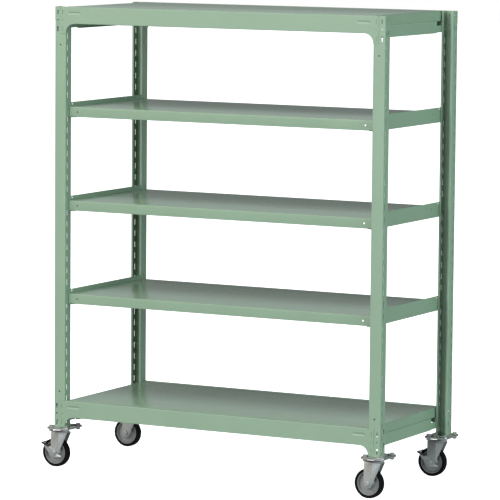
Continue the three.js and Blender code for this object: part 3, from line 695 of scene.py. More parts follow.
def post_shape(sizes, both_webs):
    """Post: across the face in x, from the outer face inwards in y, up from the foot in z."""
    sheet, bend = sizes.post_sheet, sizes.post_sheet / 2 + sizes.inside_bend
    half, back = POST_FACE / 2 - sheet / 2, POST_WEB - sheet / 2
    lip = POST_FACE / 2 - POST_LIP
    channel = prism(folded([
        (-lip, back), (-half, back), (-half, sheet / 2), (half, sheet / 2), (half, back), (lip, back),
    ], sheet, bend), "z", 0, POST_LENGTH)
    outer, through = POST_FACE / 2 + PUNCH_REACH, POST_FACE + 2 * PUNCH_REACH
    slot = (sizes.slot_width, sizes.slot_length)
    pitch, corner = sizes.slot_pitch, sizes.slot_corner
    levels = {"step": (0, 0, -LEVEL_DROP), "count": 2}
    rows = [row("x", (-outer if both_webs else 0, SLOT_INSET, FIRST_SLOT), slot,
                through if both_webs else outer, (0, 0, pitch), sizes.slot_count, corner)]
    if not both_webs:
        first, spacing, count = HOOKED_STEPS
        rows.append(row("x", (-outer, SLOT_INSET, FIRST_SLOT + first * pitch), slot, outer,
                        (0, 0, spacing * pitch), count, corner))
    for drop_below in (SIDE_DOWEL_DROP, SIDE_HOOK_DROP):
        rows.append(row("x", (-outer, SIDE_COLUMN, POST_LENGTH - drop_below),
                        (SIDE_SLOT_WIDTH, SIDE_HOOK_LENGTH), through, corner=corner, **levels))
    for x in (-FACE_COLUMN, FACE_COLUMN):
        for drop_below, length in FACE_HOOKS:
            rows.append(row("y", (x, -PUNCH_REACH, POST_LENGTH - drop_below), (FACE_SLOT_WIDTH, length),
                            2 * PUNCH_REACH, corner=FACE_CORNER, **levels))
            head = FACE_HEAD_SHARE * length
            rows.append(row("y", (x, -PUNCH_REACH, POST_LENGTH - drop_below + (length - head) / 2),
                            (FACE_HEAD_WIDTH, head), 2 * PUNCH_REACH, corner=FACE_CORNER, **levels))
        rows.append(row("y", (x, -PUNCH_REACH, POST_LENGTH - FACE_DOWEL_DROP), (2 * HOLE_RADIUS,) * 2,
                        2 * PUNCH_REACH, **levels))
    low, high = CENTRE_HOLES
    rows.append(row("y", (0, -PUNCH_REACH, low), (2 * HOLE_RADIUS,) * 2, 2 * PUNCH_REACH,
                    (0, 0, high - low), 2))
    return channel, rows


class SHELVING_OT_posts(bpy.types.Operator):
    """Folds and punches the four posts"""

    bl_idname = "shelving.posts"
    bl_label = "Make the posts"

    def execute(self, context):
        paint = finishes(context)["sage_paint"]
        kinds = {both: punched(*post_shape(context.scene.shelving_sizes, both), paint)
                 for both in (True, False)}
        for corner in CORNERS:
            rear = corner.startswith("rear")
            centre = box_middle(f"post_{corner}")
            place = at(centre.x, FRAME_HALF_DEPTH if rear else -FRAME_HALF_DEPTH, POST_FOOT,
                       math.pi if rear else 0)
            add_piece(f"folded_post_{corner}", moved(kinds[corner in BOTH_WEBS_SLOTTED], place),
                      "sage_paint", "frame", paint, f"post_{corner}")
        return {"FINISHED"}


BEAM_HEIGHT = 0.072
BEAM_TOP_FLANGE, BEAM_TOP_LIP = 0.022, 0.007
BEAM_BOTTOM_FLANGE, BEAM_BOTTOM_LIP = 0.018, 0.009
END_PLATE_LAP = 0.025
GUSSET_RADIUS = 0.040
BEAD_START, BEAD_LENGTH, BEAD_DROP, BEAD_MARGIN = 0.012, 0.062, 0.0265, 1.15
HOOK_DROP, HOOK_REACH = 0.005, 0.003
BEAM_HOOK_SHARE, SIDE_HOOK_SHARE = 1, 0.45
STUD_EDGE = 0.0005


def hook_outline(slot, post_sheet, share):
    """A hook from its slot's middle, in depth and height: through the post's sheet and down behind it."""
    foot = -slot / 2 + SEAT
    back = post_sheet + SEAT * 2
    crest = foot + (slot - 2 * SEAT) * share
    return [(-SEAT, foot), (back, foot), (back, foot - HOOK_DROP), (back + HOOK_REACH, foot - HOOK_DROP),
            (back + HOOK_REACH, crest), (-SEAT, crest)]


def lock_stud(sizes):
    """The stud that locks a beam to its post: along z, with its head inside the beam's sheet."""
    radius, edge, face = HOLE_RADIUS - SEAT, STUD_EDGE, sizes.beam_sheet - STUD_EDGE
    tail = -sizes.post_sheet - HOOK_REACH
    return turned([(0, tail), (radius - edge, tail), (radius, tail + edge), (radius, face - edge),
                   (radius - edge, face), (0, face)], SMALL_TURN_STEPS)


def beam_hooks(sizes):
    """The rows of holes at both ends of a beam, and the hooks and lock studs beside and in them."""
    sheet, tongue = sizes.beam_sheet, FACE_SLOT_WIDTH - 2 * SEAT
    column = FRAME_HALF_WIDTH - POST_FACE / 2 - FACE_COLUMN
    hook_x = column - FACE_SLOT_WIDTH / 2 + SEAT
    stud = lock_stud(sizes)
    rows, hooks = [], []
    for side in (-1, 1):
        for drop_below, length in FACE_HOOKS:
            rows.append(row("y", (side * (hook_x + tongue / 2 + sheet / 2), -PUNCH_REACH, -drop_below),
                            (tongue - sheet, length), 2 * PUNCH_REACH, corner=FACE_CORNER))
            near, far = sorted((side * hook_x, side * (hook_x + tongue)))
            hook = hook_outline(length, sizes.post_sheet, BEAM_HOOK_SHARE)
            hooks.append(moved(prism(hook, "x", near, far), at(z=-drop_below)))
        rows.append(row("y", (side * column, -PUNCH_REACH, -FACE_DOWEL_DROP), (2 * HOLE_RADIUS,) * 2,
                        2 * PUNCH_REACH))
        hooks.append(moved(stud, at(side * column, 0, -FACE_DOWEL_DROP) @ ALONG_Y))
    return rows, hooks


def beam_shape(sizes, material):
    """Long beam: along it in x, from the post face inwards in y, down from its top edge in z."""
    sheet, bend = sizes.beam_sheet, sizes.beam_sheet / 2 + sizes.inside_bend
    middle = -SEAT - sheet / 2
    end = INNER_WEB - SEAT - sizes.bracket_sheet - 2 * SEAT
    gusset, plate_end = INNER_WEB - GUSSET_RADIUS, INNER_WEB + END_PLATE_LAP
    bottom = -BEAM_HEIGHT - GUSSET_RADIUS
    tangent = bend + sheet / 2
    half = [(end, -tangent), (end, 0), (plate_end, 0), (plate_end, bottom),
            *arc((gusset, bottom), GUSSET_RADIUS, 0, math.pi / 2), (gusset - bend, -BEAM_HEIGHT),
            (gusset - bend, tangent - BEAM_HEIGHT)]
    web = half + [(-x, z) for x, z in reversed(half)]
    ramp_width = sizes.bead_width / 2
    bead_end = INNER_WEB - BEAD_START - ramp_width
    bead_foot = INNER_WEB - BEAD_START - BEAD_LENGTH + ramp_width

    def groove(x, z):
        beside = max(bead_foot - abs(x), abs(x) - bead_end, 0.0)
        away = math.hypot(beside, z + BEAD_DROP) / ramp_width
        return middle + sizes.bead_depth * (0.5 + 0.5 * math.cos(math.pi * min(away, 1.0)))

    shares = [step / BEND_STEPS for step in range(-BEND_STEPS, BEND_STEPS + 1)] 
    shares += [-BEAD_MARGIN, BEAD_MARGIN]
    across = [side * (place + ramp_width * share) for side in (-1, 1) for place in (bead_foot, bead_end)
              for share in shares]
    up = [-BEAD_DROP + ramp_width * share for share in shares]
    plate = bent_sheet(web, across, up, groove, sheet)
    rows, hooks = beam_hooks(sizes)
    top = prism(folded([(BEAM_TOP_FLANGE, -BEAM_TOP_LIP), (BEAM_TOP_FLANGE, -sheet / 2),
                        (middle, -sheet / 2), (middle, -tangent)], sheet, bend), "x", -end, end)
    low = sheet / 2 - BEAM_HEIGHT
    foot = prism(folded([(middle, tangent - BEAM_HEIGHT), (middle, low), (BEAM_BOTTOM_FLANGE, low),
                         (BEAM_BOTTOM_FLANGE, low + BEAM_BOTTOM_LIP)], sheet, bend),
                 "x", bend - gusset, gusset - bend)
    return joined(punched(plate, rows, material), top, foot, *hooks)


class SHELVING_OT_beams(bpy.types.Operator):
    """Presses the front and rear beams of the top and bottom levels"""

    bl_idname = "shelving.beams"
    bl_label = "Make the long beams"

    def execute(self, context):
        paint = finishes(context)["sage_paint"]
        beam = beam_shape(context.scene.shelving_sizes, paint)
        for level in FRAMED_LEVELS:
            for side, y, turn in (("front", -FRAME_HALF_DEPTH, 0), ("rear", FRAME_HALF_DEPTH, math.pi)):
                name = f"beam_{level}_{side}"
                place = at(MIDDLE_X, y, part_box(name)[1].z, turn)
                add_piece(f"pressed_{name}", moved(beam, place), "sage_paint", "frame", paint, name)
        return {"FINISHED"}


BRACKET_RISE = 0.0192
BRACKET_LEDGE = 0.026
BRACKET_END = FRAME_HALF_DEPTH - 0.0107
BRACKET_CORNER = 0.009
BRACKET_HOLES = ((0.054, 0.0076, 0.004), (0.122, 0.026, 0.003))
SIDE_BEAM_HEIGHT = 0.050
SIDE_BEAM_LEDGE, SIDE_BEAM_FLANGE = 0.030, 0.015
NOTCH_HEIGHT, NOTCH_LENGTH = 0.018, 0.044


def side_hooks(sizes, inset, width, length, drop_below=0.0):
    """Hooks of a side piece, outwards through the post webs, and the rows of windows beside them."""
    sheet = sizes.bracket_sheet
    outline = [(-x, z) for x, z in hook_outline(length, sizes.post_sheet, SIDE_HOOK_SHARE)]
    edge = FRAME_HALF_DEPTH - inset + width / 2 - SEAT
    window = sizes.post_sheet + SEAT * 2 + HOOK_REACH
    hooks, rows = [], []
    for side in (-1, 1):
        near, far = sorted((side * (edge - sheet), side * edge))
        hooks.append(moved(prism(outline, "y", near, far), at(z=-drop_below)))
        rows.append(row("x", (-PUNCH_REACH, side * (edge - sheet - window / 2), -drop_below),
                        (window, length), 2 * PUNCH_REACH, corner=FACE_CORNER))
    return hooks, rows


def bracket_shape(sizes, material):
    """Shelf bracket: from the post web inwards in x, along it in y, up from the board's top in z."""
    sheet, bend = sizes.bracket_sheet, sizes.bracket_sheet / 2 + sizes.inside_bend
    bottom = -BOARD_HEIGHT - SEAT - sheet
    tangent = bottom + sheet / 2 + bend
    middle = SEAT + sheet / 2
    corner = BRACKET_CORNER
    half = [(BRACKET_END, tangent), *arc((BRACKET_END - corner, BRACKET_RISE - corner), corner, 0,
                                         math.pi / 2)]
    web = prism(half + [(-y, z) for y, z in reversed(half)], "x", SEAT, SEAT + sheet)
    hooks, rows = side_hooks(sizes, SLOT_INSET, sizes.slot_width, sizes.slot_length)
    for inset, drop_below, radius in BRACKET_HOLES:
        for side in (-1, 1):
            rows.append(row("x", (-PUNCH_REACH, side * (FRAME_HALF_DEPTH - inset),
                                  BRACKET_RISE - drop_below), (2 * radius,) * 2, 2 * PUNCH_REACH))
    ledge = prism(folded([(middle, tangent), (middle, bottom + sheet / 2),
                          (middle + BRACKET_LEDGE, bottom + sheet / 2)], sheet, bend),
                  "y", -BOARD_HALF_DEPTH, BOARD_HALF_DEPTH)
    return joined(punched(web, rows, material), ledge, *hooks)


def side_beam_shape(sizes, material):
    """Side beam: from the post web inwards in x, along it in y, down from the board's top in z."""
    sheet, bend = sizes.bracket_sheet, sizes.bracket_sheet / 2 + sizes.inside_bend
    top = -BOARD_HEIGHT - SEAT
    bottom = top - SIDE_BEAM_HEIGHT
    high, low = top - sheet / 2 - bend, bottom + sheet / 2 + bend
    middle = SEAT + sheet / 2
    web_end = FRAME_HALF_DEPTH - POST_WEB
    notch_end = web_end - NOTCH_LENGTH
    corner = sheet + bend
    half = [(BRACKET_END, low), (BRACKET_END, top - corner), (web_end, top - corner),
            (web_end, top - NOTCH_HEIGHT), (notch_end, top - NOTCH_HEIGHT), (notch_end, high)]
    web = prism(half + [(-y, z) for y, z in reversed(half)], "x", SEAT, SEAT + sheet)
    hooks, rows = side_hooks(sizes, SIDE_COLUMN, SIDE_SLOT_WIDTH, SIDE_HOOK_LENGTH, SIDE_HOOK_DROP)
    ledge = prism(folded([(middle, high), (middle, top - sheet / 2),
                          (middle + SIDE_BEAM_LEDGE, top - sheet / 2)], sheet, bend),
                  "y", -notch_end, notch_end)
    flange = prism(folded([(middle, low), (middle, bottom + sheet / 2),
                           (middle + SIDE_BEAM_FLANGE, bottom + sheet / 2)], sheet, bend),
                   "y", -notch_end, notch_end)
    return joined(punched(web, rows, material), ledge, flange, *hooks)


class SHELVING_OT_side_pieces(bpy.types.Operator):
    """Makes the hooked shelf brackets and the side beams"""

    bl_idname = "shelving.side_pieces"
    bl_label = "Make the brackets and side beams"

    def execute(self, context):
        paint = finishes(context)["sage_paint"]
        sizes = context.scene.shelving_sizes
        kinds = (("bracket", bracket_shape(sizes, paint), HOOKED_LEVELS),
                 ("side_beam", side_beam_shape(sizes, paint), FRAMED_LEVELS))
        for kind, shape, levels in kinds:
            for level in levels:
                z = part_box(f"board_{level}")[1].z
                for side, x, turn in (("left", -INNER_WEB, 0), ("right", INNER_WEB, math.pi)):
                    name = f"{kind}_{level}_{side}"
                    add_piece(f"hooked_{name}", moved(shape, at(MIDDLE_X + x, 0, z, turn)),
                              "sage_paint", "frame", paint, name)
        return {"FINISHED"}


BOARD_LIP, BOARD_LIP_RELIEF = 0.013, 0.018
BOARD_HOLE_RADIUS, BOARD_HOLE_INSET, BOARD_HOLE_DROP = 0.0036, 0.0395, 0.021
STIFFENER_WIDTH, STIFFENER_DEPTH, STIFFENER_FLANGE = 0.070, 0.026, 0.016
SPOT_WELD_RADIUS, SPOT_WELD_HEIGHT, SPOT_WELD_PITCH = 0.003, 0.0004, 0.09


def board_shape(sizes, material):
    """Board: along it in x, across in y, down from its top face in z."""
    sheet, bend = sizes.board_sheet, sizes.board_sheet / 2 + sizes.inside_bend
    side, under = BOARD_HALF_DEPTH - sheet / 2, sheet / 2 - BOARD_HEIGHT
    pan = prism(folded([(BOARD_LIP - side, under), (-side, under), (-side, -sheet / 2),
                        (side, -sheet / 2), (side, under), (side - BOARD_LIP, under)], sheet, bend),
                "x", -BOARD_HALF_WIDTH, BOARD_HALF_WIDTH)
    hole = BOARD_HALF_WIDTH - BOARD_HOLE_INSET
    relief = (2 * BOARD_LIP_RELIEF, 2 * bend)
    rows = [row("y", (-hole, y - PUNCH_REACH, -BOARD_HOLE_DROP), (2 * BOARD_HOLE_RADIUS,) * 2,
                2 * PUNCH_REACH, (2 * hole, 0, 0), 2) for y in (-BOARD_HALF_DEPTH, BOARD_HALF_DEPTH)]
    rows.append(row("y", (-BOARD_HALF_WIDTH, -BOARD_HALF_DEPTH - PUNCH_REACH, -BOARD_HEIGHT), relief,
                    2 * (BOARD_HALF_DEPTH + PUNCH_REACH), (2 * BOARD_HALF_WIDTH, 0, 0), 2,
                    corner=sizes.slot_corner))
    lip_end = BOARD_HALF_WIDTH - BOARD_LIP_RELIEF
    inside, below = BOARD_HALF_DEPTH - sheet - SEAT, -sheet - SEAT
    end_plate = [(-inside, -BOARD_HEIGHT), (inside, -BOARD_HEIGHT), (inside, below), (-inside, below)]
    near, far = BOARD_HALF_WIDTH - sheet - SEAT, BOARD_HALF_WIDTH - SEAT
    ends = [prism(end_plate, "x", -far, -near), prism(end_plate, "x", near, far)]
    hat_top, hat_half = -sheet - sheet / 2, STIFFENER_WIDTH / 2 - STIFFENER_FLANGE
    hat = prism(folded([(-STIFFENER_WIDTH / 2, hat_top), (-hat_half, hat_top),
                        (-hat_half, -STIFFENER_DEPTH), (hat_half, -STIFFENER_DEPTH),
                        (hat_half, hat_top), (STIFFENER_WIDTH / 2, hat_top)], sheet, bend),
                "x", -lip_end, lip_end)
    board = joined(punched(pan, rows, material), *ends, hat)
    weld_row = STIFFENER_WIDTH / 2 - STIFFENER_FLANGE / 2
    count = int(2 * lip_end / SPOT_WELD_PITCH)
    start = -SPOT_WELD_PITCH * (count - 1) / 2
    welds = [{"Start": (start, y, hat_top - sheet / 2), "Step": (SPOT_WELD_PITCH, 0, 0), "Count": count,
              "Radius": SPOT_WELD_RADIUS, "Height": SPOT_WELD_HEIGHT} for y in (-weld_row, weld_row)]
    return with_trees(board, spot_welds, welds, material)


class SHELVING_OT_boards(bpy.types.Operator):
    """Folds the five boards with their stiffeners"""

    bl_idname = "shelving.boards"
    bl_label = "Make the boards"

    def execute(self, context):
        paint = finishes(context)["shelf_paint"]
        board = board_shape(context.scene.shelving_sizes, paint)
        for level in LEVELS:
            name = f"board_{level}"
            place = at(MIDDLE_X, 0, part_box(name)[1].z)
            add_piece(f"folded_{name}", moved(board, place), "shelf_paint", "frame", paint, name)
        return {"FINISHED"}


# Feet and castors

PLATE_CORNER = 0.010
PLATE_SHIFT = FRAME_HALF_DEPTH - box_middle("kingpin_rear_left").y
TRAIL = box_middle("kingpin_front_left").x - box_middle("axle_front_left").x
FOOT_SHEET, CASTOR_SHEET = 0.0045, 0.004
HEEL_SHEET, HEEL_HEIGHT, HEEL_LENGTH, TONGUE_HEIGHT = 0.003, 0.005, 0.043, 0.0045
CROWN_RADIUS = 0.0225
CROWN_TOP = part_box("fork_front_left")[1].z
CROWN_WALL, CROWN_RIM = 0.003, 0.006
CROWN_EDGE, CROWN_LIP = 0.003, 0.001
FORK_SHEET, FORK_BEND_SHARE, FORK_STEPS = 0.003, 1.3, 12
PINCH_RISE, PINCH_EASED = 1.5, 0.44
CROWN_BASE = CROWN_TOP - CROWN_RIM
FORK_TOP = CROWN_BASE + FORK_SHEET
FORK_INNER = HUB_WIDTH / 2 + 0.0006
FORK_OUTER = FORK_INNER + FORK_SHEET
FORK_BACK, FORK_NOSE, FORK_CREASE, FORK_PINCH, FORK_END = 0.057, 0.0205, 0.017, 0.0025, 0.020
FORK_RIB, FORK_RIB_HALF, FORK_RIB_EDGE = 0.0014, 0.0042, 0.002
TONGUE_INSET = 0.004
RACE_WAIST_INSET, RACE_ROUNDING = 0.004, 0.003
AXLE_RADIUS = 0.005
PIN_RADIUS = 0.006
RIVET_BORE = PIN_RADIUS + 2 * SEAT
EDGE = 0.0004
HEX_FACE_SHARE = 0.96
THREAD_PITCH, THREAD_DEPTH_SHARE = 0.0015, 0.55


def hexagon(across, start, end):
    """A hexagonal head or nut with chamfered corners, between two heights."""
    flat, steps = across / 2, SMALL_TURN_STEPS
    inner = flat * HEX_FACE_SHARE
    angles = [math.tau * step / steps for step in range(steps)]
    rims = [flat / math.cos((angle + math.pi / 6) % (math.pi / 3) - math.pi / 6) for angle in angles]
    drops = [(rim - inner) * math.tan(math.pi / 6) for rim in rims]

    def ring(radii, heights):
        return [(r * math.cos(a), r * math.sin(a), z) for r, a, z in zip(radii, angles, heights)]

    return lofted([
        ring([inner] * steps, [start] * steps), ring(rims, [start + low for low in drops]),
        ring(rims, [end - low for low in drops]), ring([inner] * steps, [end] * steps),
    ])


def washer(radius, start, end):
    """A round washer with softened edges."""
    return turned([(0, start), (radius - EDGE, start), (radius, start + EDGE), (radius, end - EDGE),
                   (radius - EDGE, end), (0, end)])


def threaded(radius, start, end):
    """A threaded bar whose end shows below its nut."""
    pitch = THREAD_PITCH
    ridges = [(0, start), (radius - pitch, start)]
    for turn in range(int((end - start) / pitch)):
        height = start + pitch * (turn + 0.5)
        ridges += [(radius, height), (radius - pitch * THREAD_DEPTH_SHARE, height + pitch / 2)]
    return turned([*ridges, (0, end)], SMALL_TURN_STEPS)


def plate_outline():
    """The plan of a foot plate about the castor's axis, with rounded corners."""
    half_width, half_depth = PLATE_WIDTH / 2, PLATE_DEPTH / 2
    corner = PLATE_CORNER
    centres = ((half_width - corner, half_depth - corner), (corner - half_width, half_depth - corner),
               (corner - half_width, corner - half_depth), (half_width - corner, corner - half_depth))
    return [point for i, centre in enumerate(centres)
            for point in arc(centre, corner, i * math.pi / 2, (i + 1) * math.pi / 2)]


def foot_shape(sizes, material):
    """Foot adapter: about the castor's axis, inwards in y, up from the post foot in z."""
    plate = softened(prism(plate_outline(), "z", -SEAT - FOOT_SHEET, -SEAT), EDGE)
    sheet, floor = HEEL_SHEET, HEEL_SHEET / 2 - SEAT

    def channel(half, height, start, end):
        line = [(-half, height), (-half, floor), (half, floor), (half, height)]
        return softened(prism(folded(line, sheet, sheet), "y", start, end), EDGE)

    heel_start = POST_WEB + 2 * SEAT - PLATE_SHIFT
    heel_half = POST_FACE / 2 - sheet / 2
    tongue_half = heel_half - TONGUE_INSET
    heel = channel(heel_half, HEEL_HEIGHT, heel_start, heel_start + HEEL_LENGTH)
    tongue = channel(tongue_half, TONGUE_HEIGHT, 2 * sizes.post_sheet - PLATE_SHIFT,
                     POST_WEB - 2 * sizes.post_sheet - PLATE_SHIFT)
    seams = [{"Start": (side * (heel_half - sheet / 2), heel_start, -SEAT),
              "End": (side * (heel_half - sheet / 2), heel_start + HEEL_LENGTH, -SEAT),
              "Spacing": sizes.weld_spacing, "Radius": sizes.weld_radius, "Seed": 3 + side}
             for side in (-1, 1)]
    seams.append({"Start": (-heel_half, heel_start + HEEL_LENGTH, -SEAT),
                  "End": (heel_half, heel_start + HEEL_LENGTH, -SEAT),
                  "Spacing": sizes.weld_spacing, "Radius": sizes.weld_radius, "Seed": 5})
    return with_trees(joined(plate, heel, tongue), weld_seam, seams, material)


def corner_place(corner, lift=0.0):
    """The place of a corner's castor axis, turned so that +y points inwards."""
    middle = box_middle(f"kingpin_{corner}")
    return at(middle.x, middle.y, lift, math.pi if corner.startswith("rear") else 0)


class SHELVING_OT_feet(bpy.types.Operator):
    """Makes the foot adapters that join the posts to the castors"""

    bl_idname = "shelving.feet"
    bl_label = "Make the foot adapters"

    def execute(self, context):
        steel = finishes(context)["adapter"]
        foot = foot_shape(context.scene.shelving_sizes, steel)
        for corner in CORNERS:
            add_piece(f"foot_plate_{corner}", moved(foot, corner_place(corner, POST_FOOT)),
                      "dark_steel", "frame", steel, f"adapter_{corner}")
        return {"FINISHED"}


def swivel_plate_shape():
    """Castor plate with the ball race pressed below it, up from the floor in z."""
    low = CASTOR_TOP - CASTOR_SHEET
    plate = softened(prism(plate_outline(), "z", low, CASTOR_TOP), EDGE)
    race = CROWN_RADIUS - CROWN_WALL - 2 * SEAT
    bottom = CROWN_BASE + CROWN_WALL + 3 * SEAT
    waist, round_over = race - RACE_WAIST_INSET, RACE_ROUNDING
    shoulder = CROWN_TOP + 4 * SEAT
    return joined(plate, turned([
        (PIN_RADIUS + SEAT, bottom), *arc((race - round_over, bottom + round_over), round_over,
                                          -math.pi / 2, 0),
        *arc((race - round_over, shoulder), round_over, 0, math.pi / 2),
        *reversed(arc((waist + round_over, low - CASTOR_SHEET), round_over, math.pi / 2, math.pi)),
        (waist + round_over, low + SEAT), (PIN_RADIUS + SEAT, low + SEAT),
    ]))


def king_rivet_shape():
    """The rivet that holds a fork under its plate, up from the floor in z."""
    head_top = CROWN_BASE - 2 * SEAT
    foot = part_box("kingpin_front_left")[0].z
    radius = box_size("kingpin_front_left").y / 2
    height = head_top - foot
    dome = [(radius * math.sin(angle), head_top - height * math.cos(angle))
            for angle in (math.pi / 2 * step / ARC_STEPS for step in range(ARC_STEPS + 1))]
    return turned([*dome, (PIN_RADIUS, head_top), (PIN_RADIUS, CASTOR_TOP), (0, CASTOR_TOP)], steps=32)


class SHELVING_OT_swivels(bpy.types.Operator):
    """Makes the castor plates, races and king rivets"""

    bl_idname = "shelving.swivels"
    bl_label = "Make the castor plates"

    def execute(self, context):
        zinc = finishes(context)["zinc"]
        plate, rivet = swivel_plate_shape(), king_rivet_shape()
        for corner in CORNERS:
            place = corner_place(corner)
            add_piece(f"swivel_plate_{corner}", moved(plate, place), "zinc", "frame", zinc,
                      f"castor_plate_{corner}")
            add_piece(f"king_rivet_{corner}", moved(rivet, place), "zinc", "frame", zinc,
                      f"kingpin_{corner}")
        return {"FINISHED"}


HEX_ACROSS, HEAD_HEIGHT, NUT_HEIGHT = 0.016, 0.0065, 0.008
WASHER_RADIUS, WASHER_HEIGHT = 0.010, 0.0016
BOLT_TAIL = 0.002


def plate_bolt_shape(sizes):
    """A plate bolt with its washers, nut and threaded tail, up from the floor in z."""
    plate_top, plate_bottom = POST_FOOT - SEAT, CASTOR_TOP - CASTOR_SHEET
    head = plate_top + WASHER_HEIGHT
    nut_top = plate_bottom - WASHER_HEIGHT
    nut_bottom = nut_top - NUT_HEIGHT
    return joined(
        washer(WASHER_RADIUS, plate_top, head), hexagon(HEX_ACROSS, head, head + HEAD_HEIGHT),
        washer(WASHER_RADIUS, nut_top, plate_bottom), hexagon(HEX_ACROSS, nut_bottom, nut_top),
        threaded(sizes.bolt_radius, nut_bottom - BOLT_TAIL, nut_bottom + NUT_HEIGHT / 2))


class SHELVING_OT_plate_bolts(bpy.types.Operator):
    """Repeats the bolts that clamp each foot adapter to its castor"""

    bl_idname = "shelving.plate_bolts"
    bl_label = "Make the plate bolts"

    def execute(self, context):
        steel = finishes(context)["bolts"]
        sizes = context.scene.shelving_sizes
        bolt = temporary(plate_bolt_shape(sizes))
        pattern = {"Bolt": bolt, "Pitch Along": sizes.bolt_pitch_x, "Pitch Across": sizes.bolt_pitch_y}
        bolts = with_trees(bmesh.new(), bolt_pattern, [pattern], steel)
        bpy.data.objects.remove(bolt)
        for corner in CORNERS:
            add_piece(f"plate_bolts_{corner}", moved(bolts, corner_place(corner)), "zinc", "frame", steel,
                      f"castor_plate_{corner}")
        return {"FINISHED"}


def crown_shape():
    """The cup at the top of a fork that takes the ball race, up from the floor in z."""
    edge, lip, base = CROWN_EDGE, CROWN_LIP, CROWN_BASE + SEAT
    cup = CROWN_RADIUS - CROWN_WALL
    return turned([
        (RIVET_BORE, base), *arc((CROWN_RADIUS - edge, base + edge), edge, -math.pi / 2, 0),
        *arc((CROWN_RADIUS - lip, CROWN_TOP - lip), lip, 0, math.pi / 2),
        *arc((cup + lip, CROWN_TOP - lip), lip, math.pi / 2, math.pi),
        (cup, CROWN_BASE + CROWN_WALL), (RIVET_BORE, CROWN_BASE + CROWN_WALL),
    ])


def fork_shape(material):
    """Fork: forwards in x from the swivel axis, across in y, up from the floor in z."""
    sheet, bend = FORK_SHEET, FORK_SHEET * FORK_BEND_SHARE
    half = FORK_INNER + sheet / 2
    high = FORK_TOP - sheet / 2
    low = high - bend

    def leg_line(x):
        past = max(0.0, x + FORK_CREASE) / (FORK_NOSE + FORK_CREASE)
        beside = (abs(x + FORK_CREASE) - FORK_RIB_HALF) / FORK_RIB_EDGE
        rib = FORK_RIB * (1 - max(0.0, min(1.0, beside)))
        return half + rib - FORK_PINCH * (PINCH_RISE * past ** 1.5 if past < PINCH_EASED else past)

    start = math.pi - math.acos((FORK_BACK - TRAIL) / FORK_END)
    to_nose = Vector((FORK_NOSE + TRAIL, low - WHEEL_RADIUS))
    end = math.atan2(to_nose.y, to_nose.x) - math.acos(FORK_END / to_nose.length) + math.tau
    outline = [(FORK_NOSE, low), (-FORK_BACK, low),
               *arc((-TRAIL, WHEEL_RADIUS), FORK_END, start, end, 3 * ARC_STEPS)]
    stations = [-FORK_CREASE + (FORK_NOSE + FORK_CREASE) * step / FORK_STEPS for step in range(FORK_STEPS)]
    stations += [side * (FORK_RIB_HALF + FORK_RIB_EDGE * share) - FORK_CREASE for side in (-1, 1)
                 for share in (0, 1)]
    stations.sort()
    leg = bent_sheet(outline, stations, (), lambda x, z: leg_line(x), sheet)
    legs = softened(joined(leg, moved(leg, mirrored("y"))), EDGE)
    bridge = []
    for x in (-FORK_BACK, *stations, FORK_NOSE):
        reach = leg_line(x)
        path = [(-reach, low), (-reach, high), (reach, high), (reach, low)]
        bridge.append([(x, y, z) for y, z in folded(path, sheet, bend)])
    axle_hole = row("y", (-TRAIL, -2 * FORK_OUTER, WHEEL_RADIUS), (2 * (AXLE_RADIUS + SEAT),) * 2,
                    4 * FORK_OUTER)
    rivet_hole = row("z", (0, 0, CROWN_BASE - PUNCH_REACH), (2 * RIVET_BORE,) * 2, 3 * PUNCH_REACH)
    return joined(punched(legs, [axle_hole], material), punched(lofted(bridge), [rivet_hole], material),
                  crown_shape())


AXLE_HEAD_RADIUS, AXLE_HEAD_HEIGHT, AXLE_HEAD_EDGE = 0.011, 0.006, 0.0025
AXLE_NUT_ACROSS, AXLE_NUT_HEIGHT, AXLE_TAIL_EDGE = 0.016, 0.0075, 0.0005
AXLE_WASHER_SHARE = 0.62
BRAKE_SHEET = 0.0024


def axle_shape(braked):
    """Axle bolt: along z about the wheel's centre, its head towards +z; turned to the front when placed."""
    grip = FORK_OUTER + SEAT
    flange = grip + BRAKE_SHEET + 2 * SEAT
    collar = flange if braked else grip
    head, edge = AXLE_HEAD_HEIGHT, AXLE_HEAD_EDGE
    dome = arc((AXLE_HEAD_RADIUS - edge, flange + head - edge), edge, 0, math.pi / 2)
    tail = -flange - AXLE_NUT_HEIGHT
    bar = turned([(0, tail - AXLE_TAIL_EDGE), (AXLE_RADIUS, tail + AXLE_TAIL_EDGE), (AXLE_RADIUS, collar),
                  (AXLE_HEAD_RADIUS, collar), *dome, (0, flange + head)], steps=40)
    parts = [bar, hexagon(AXLE_NUT_ACROSS, tail, -flange)]
    if not braked:
        parts.append(washer(AXLE_NUT_ACROSS * AXLE_WASHER_SHARE, -flange, -collar))
    return joined(*parts)


class SHELVING_OT_forks(bpy.types.Operator):
    """Presses the castor forks and adds their axle bolts"""

    bl_idname = "shelving.forks"
    bl_label = "Make the forks and axles"

    def execute(self, context):
        made = finishes(context)
        fork = fork_shape(made["zinc"])
        for corner in CORNERS:
            middle = box_middle(f"kingpin_{corner}")
            body = f"swivel_{corner}"
            add_piece(f"pressed_fork_{corner}", moved(fork, at(middle.x, middle.y)), "zinc", body,
                      made["zinc"], f"fork_{corner}")
            place = at(middle.x - TRAIL, middle.y, WHEEL_RADIUS) @ ALONG_Y
            add_piece(f"axle_bolt_{corner}", moved(axle_shape(corner in BRAKED), place), "zinc", body,
                      made["bolts"], f"axle_{corner}")
        return {"FINISHED"}


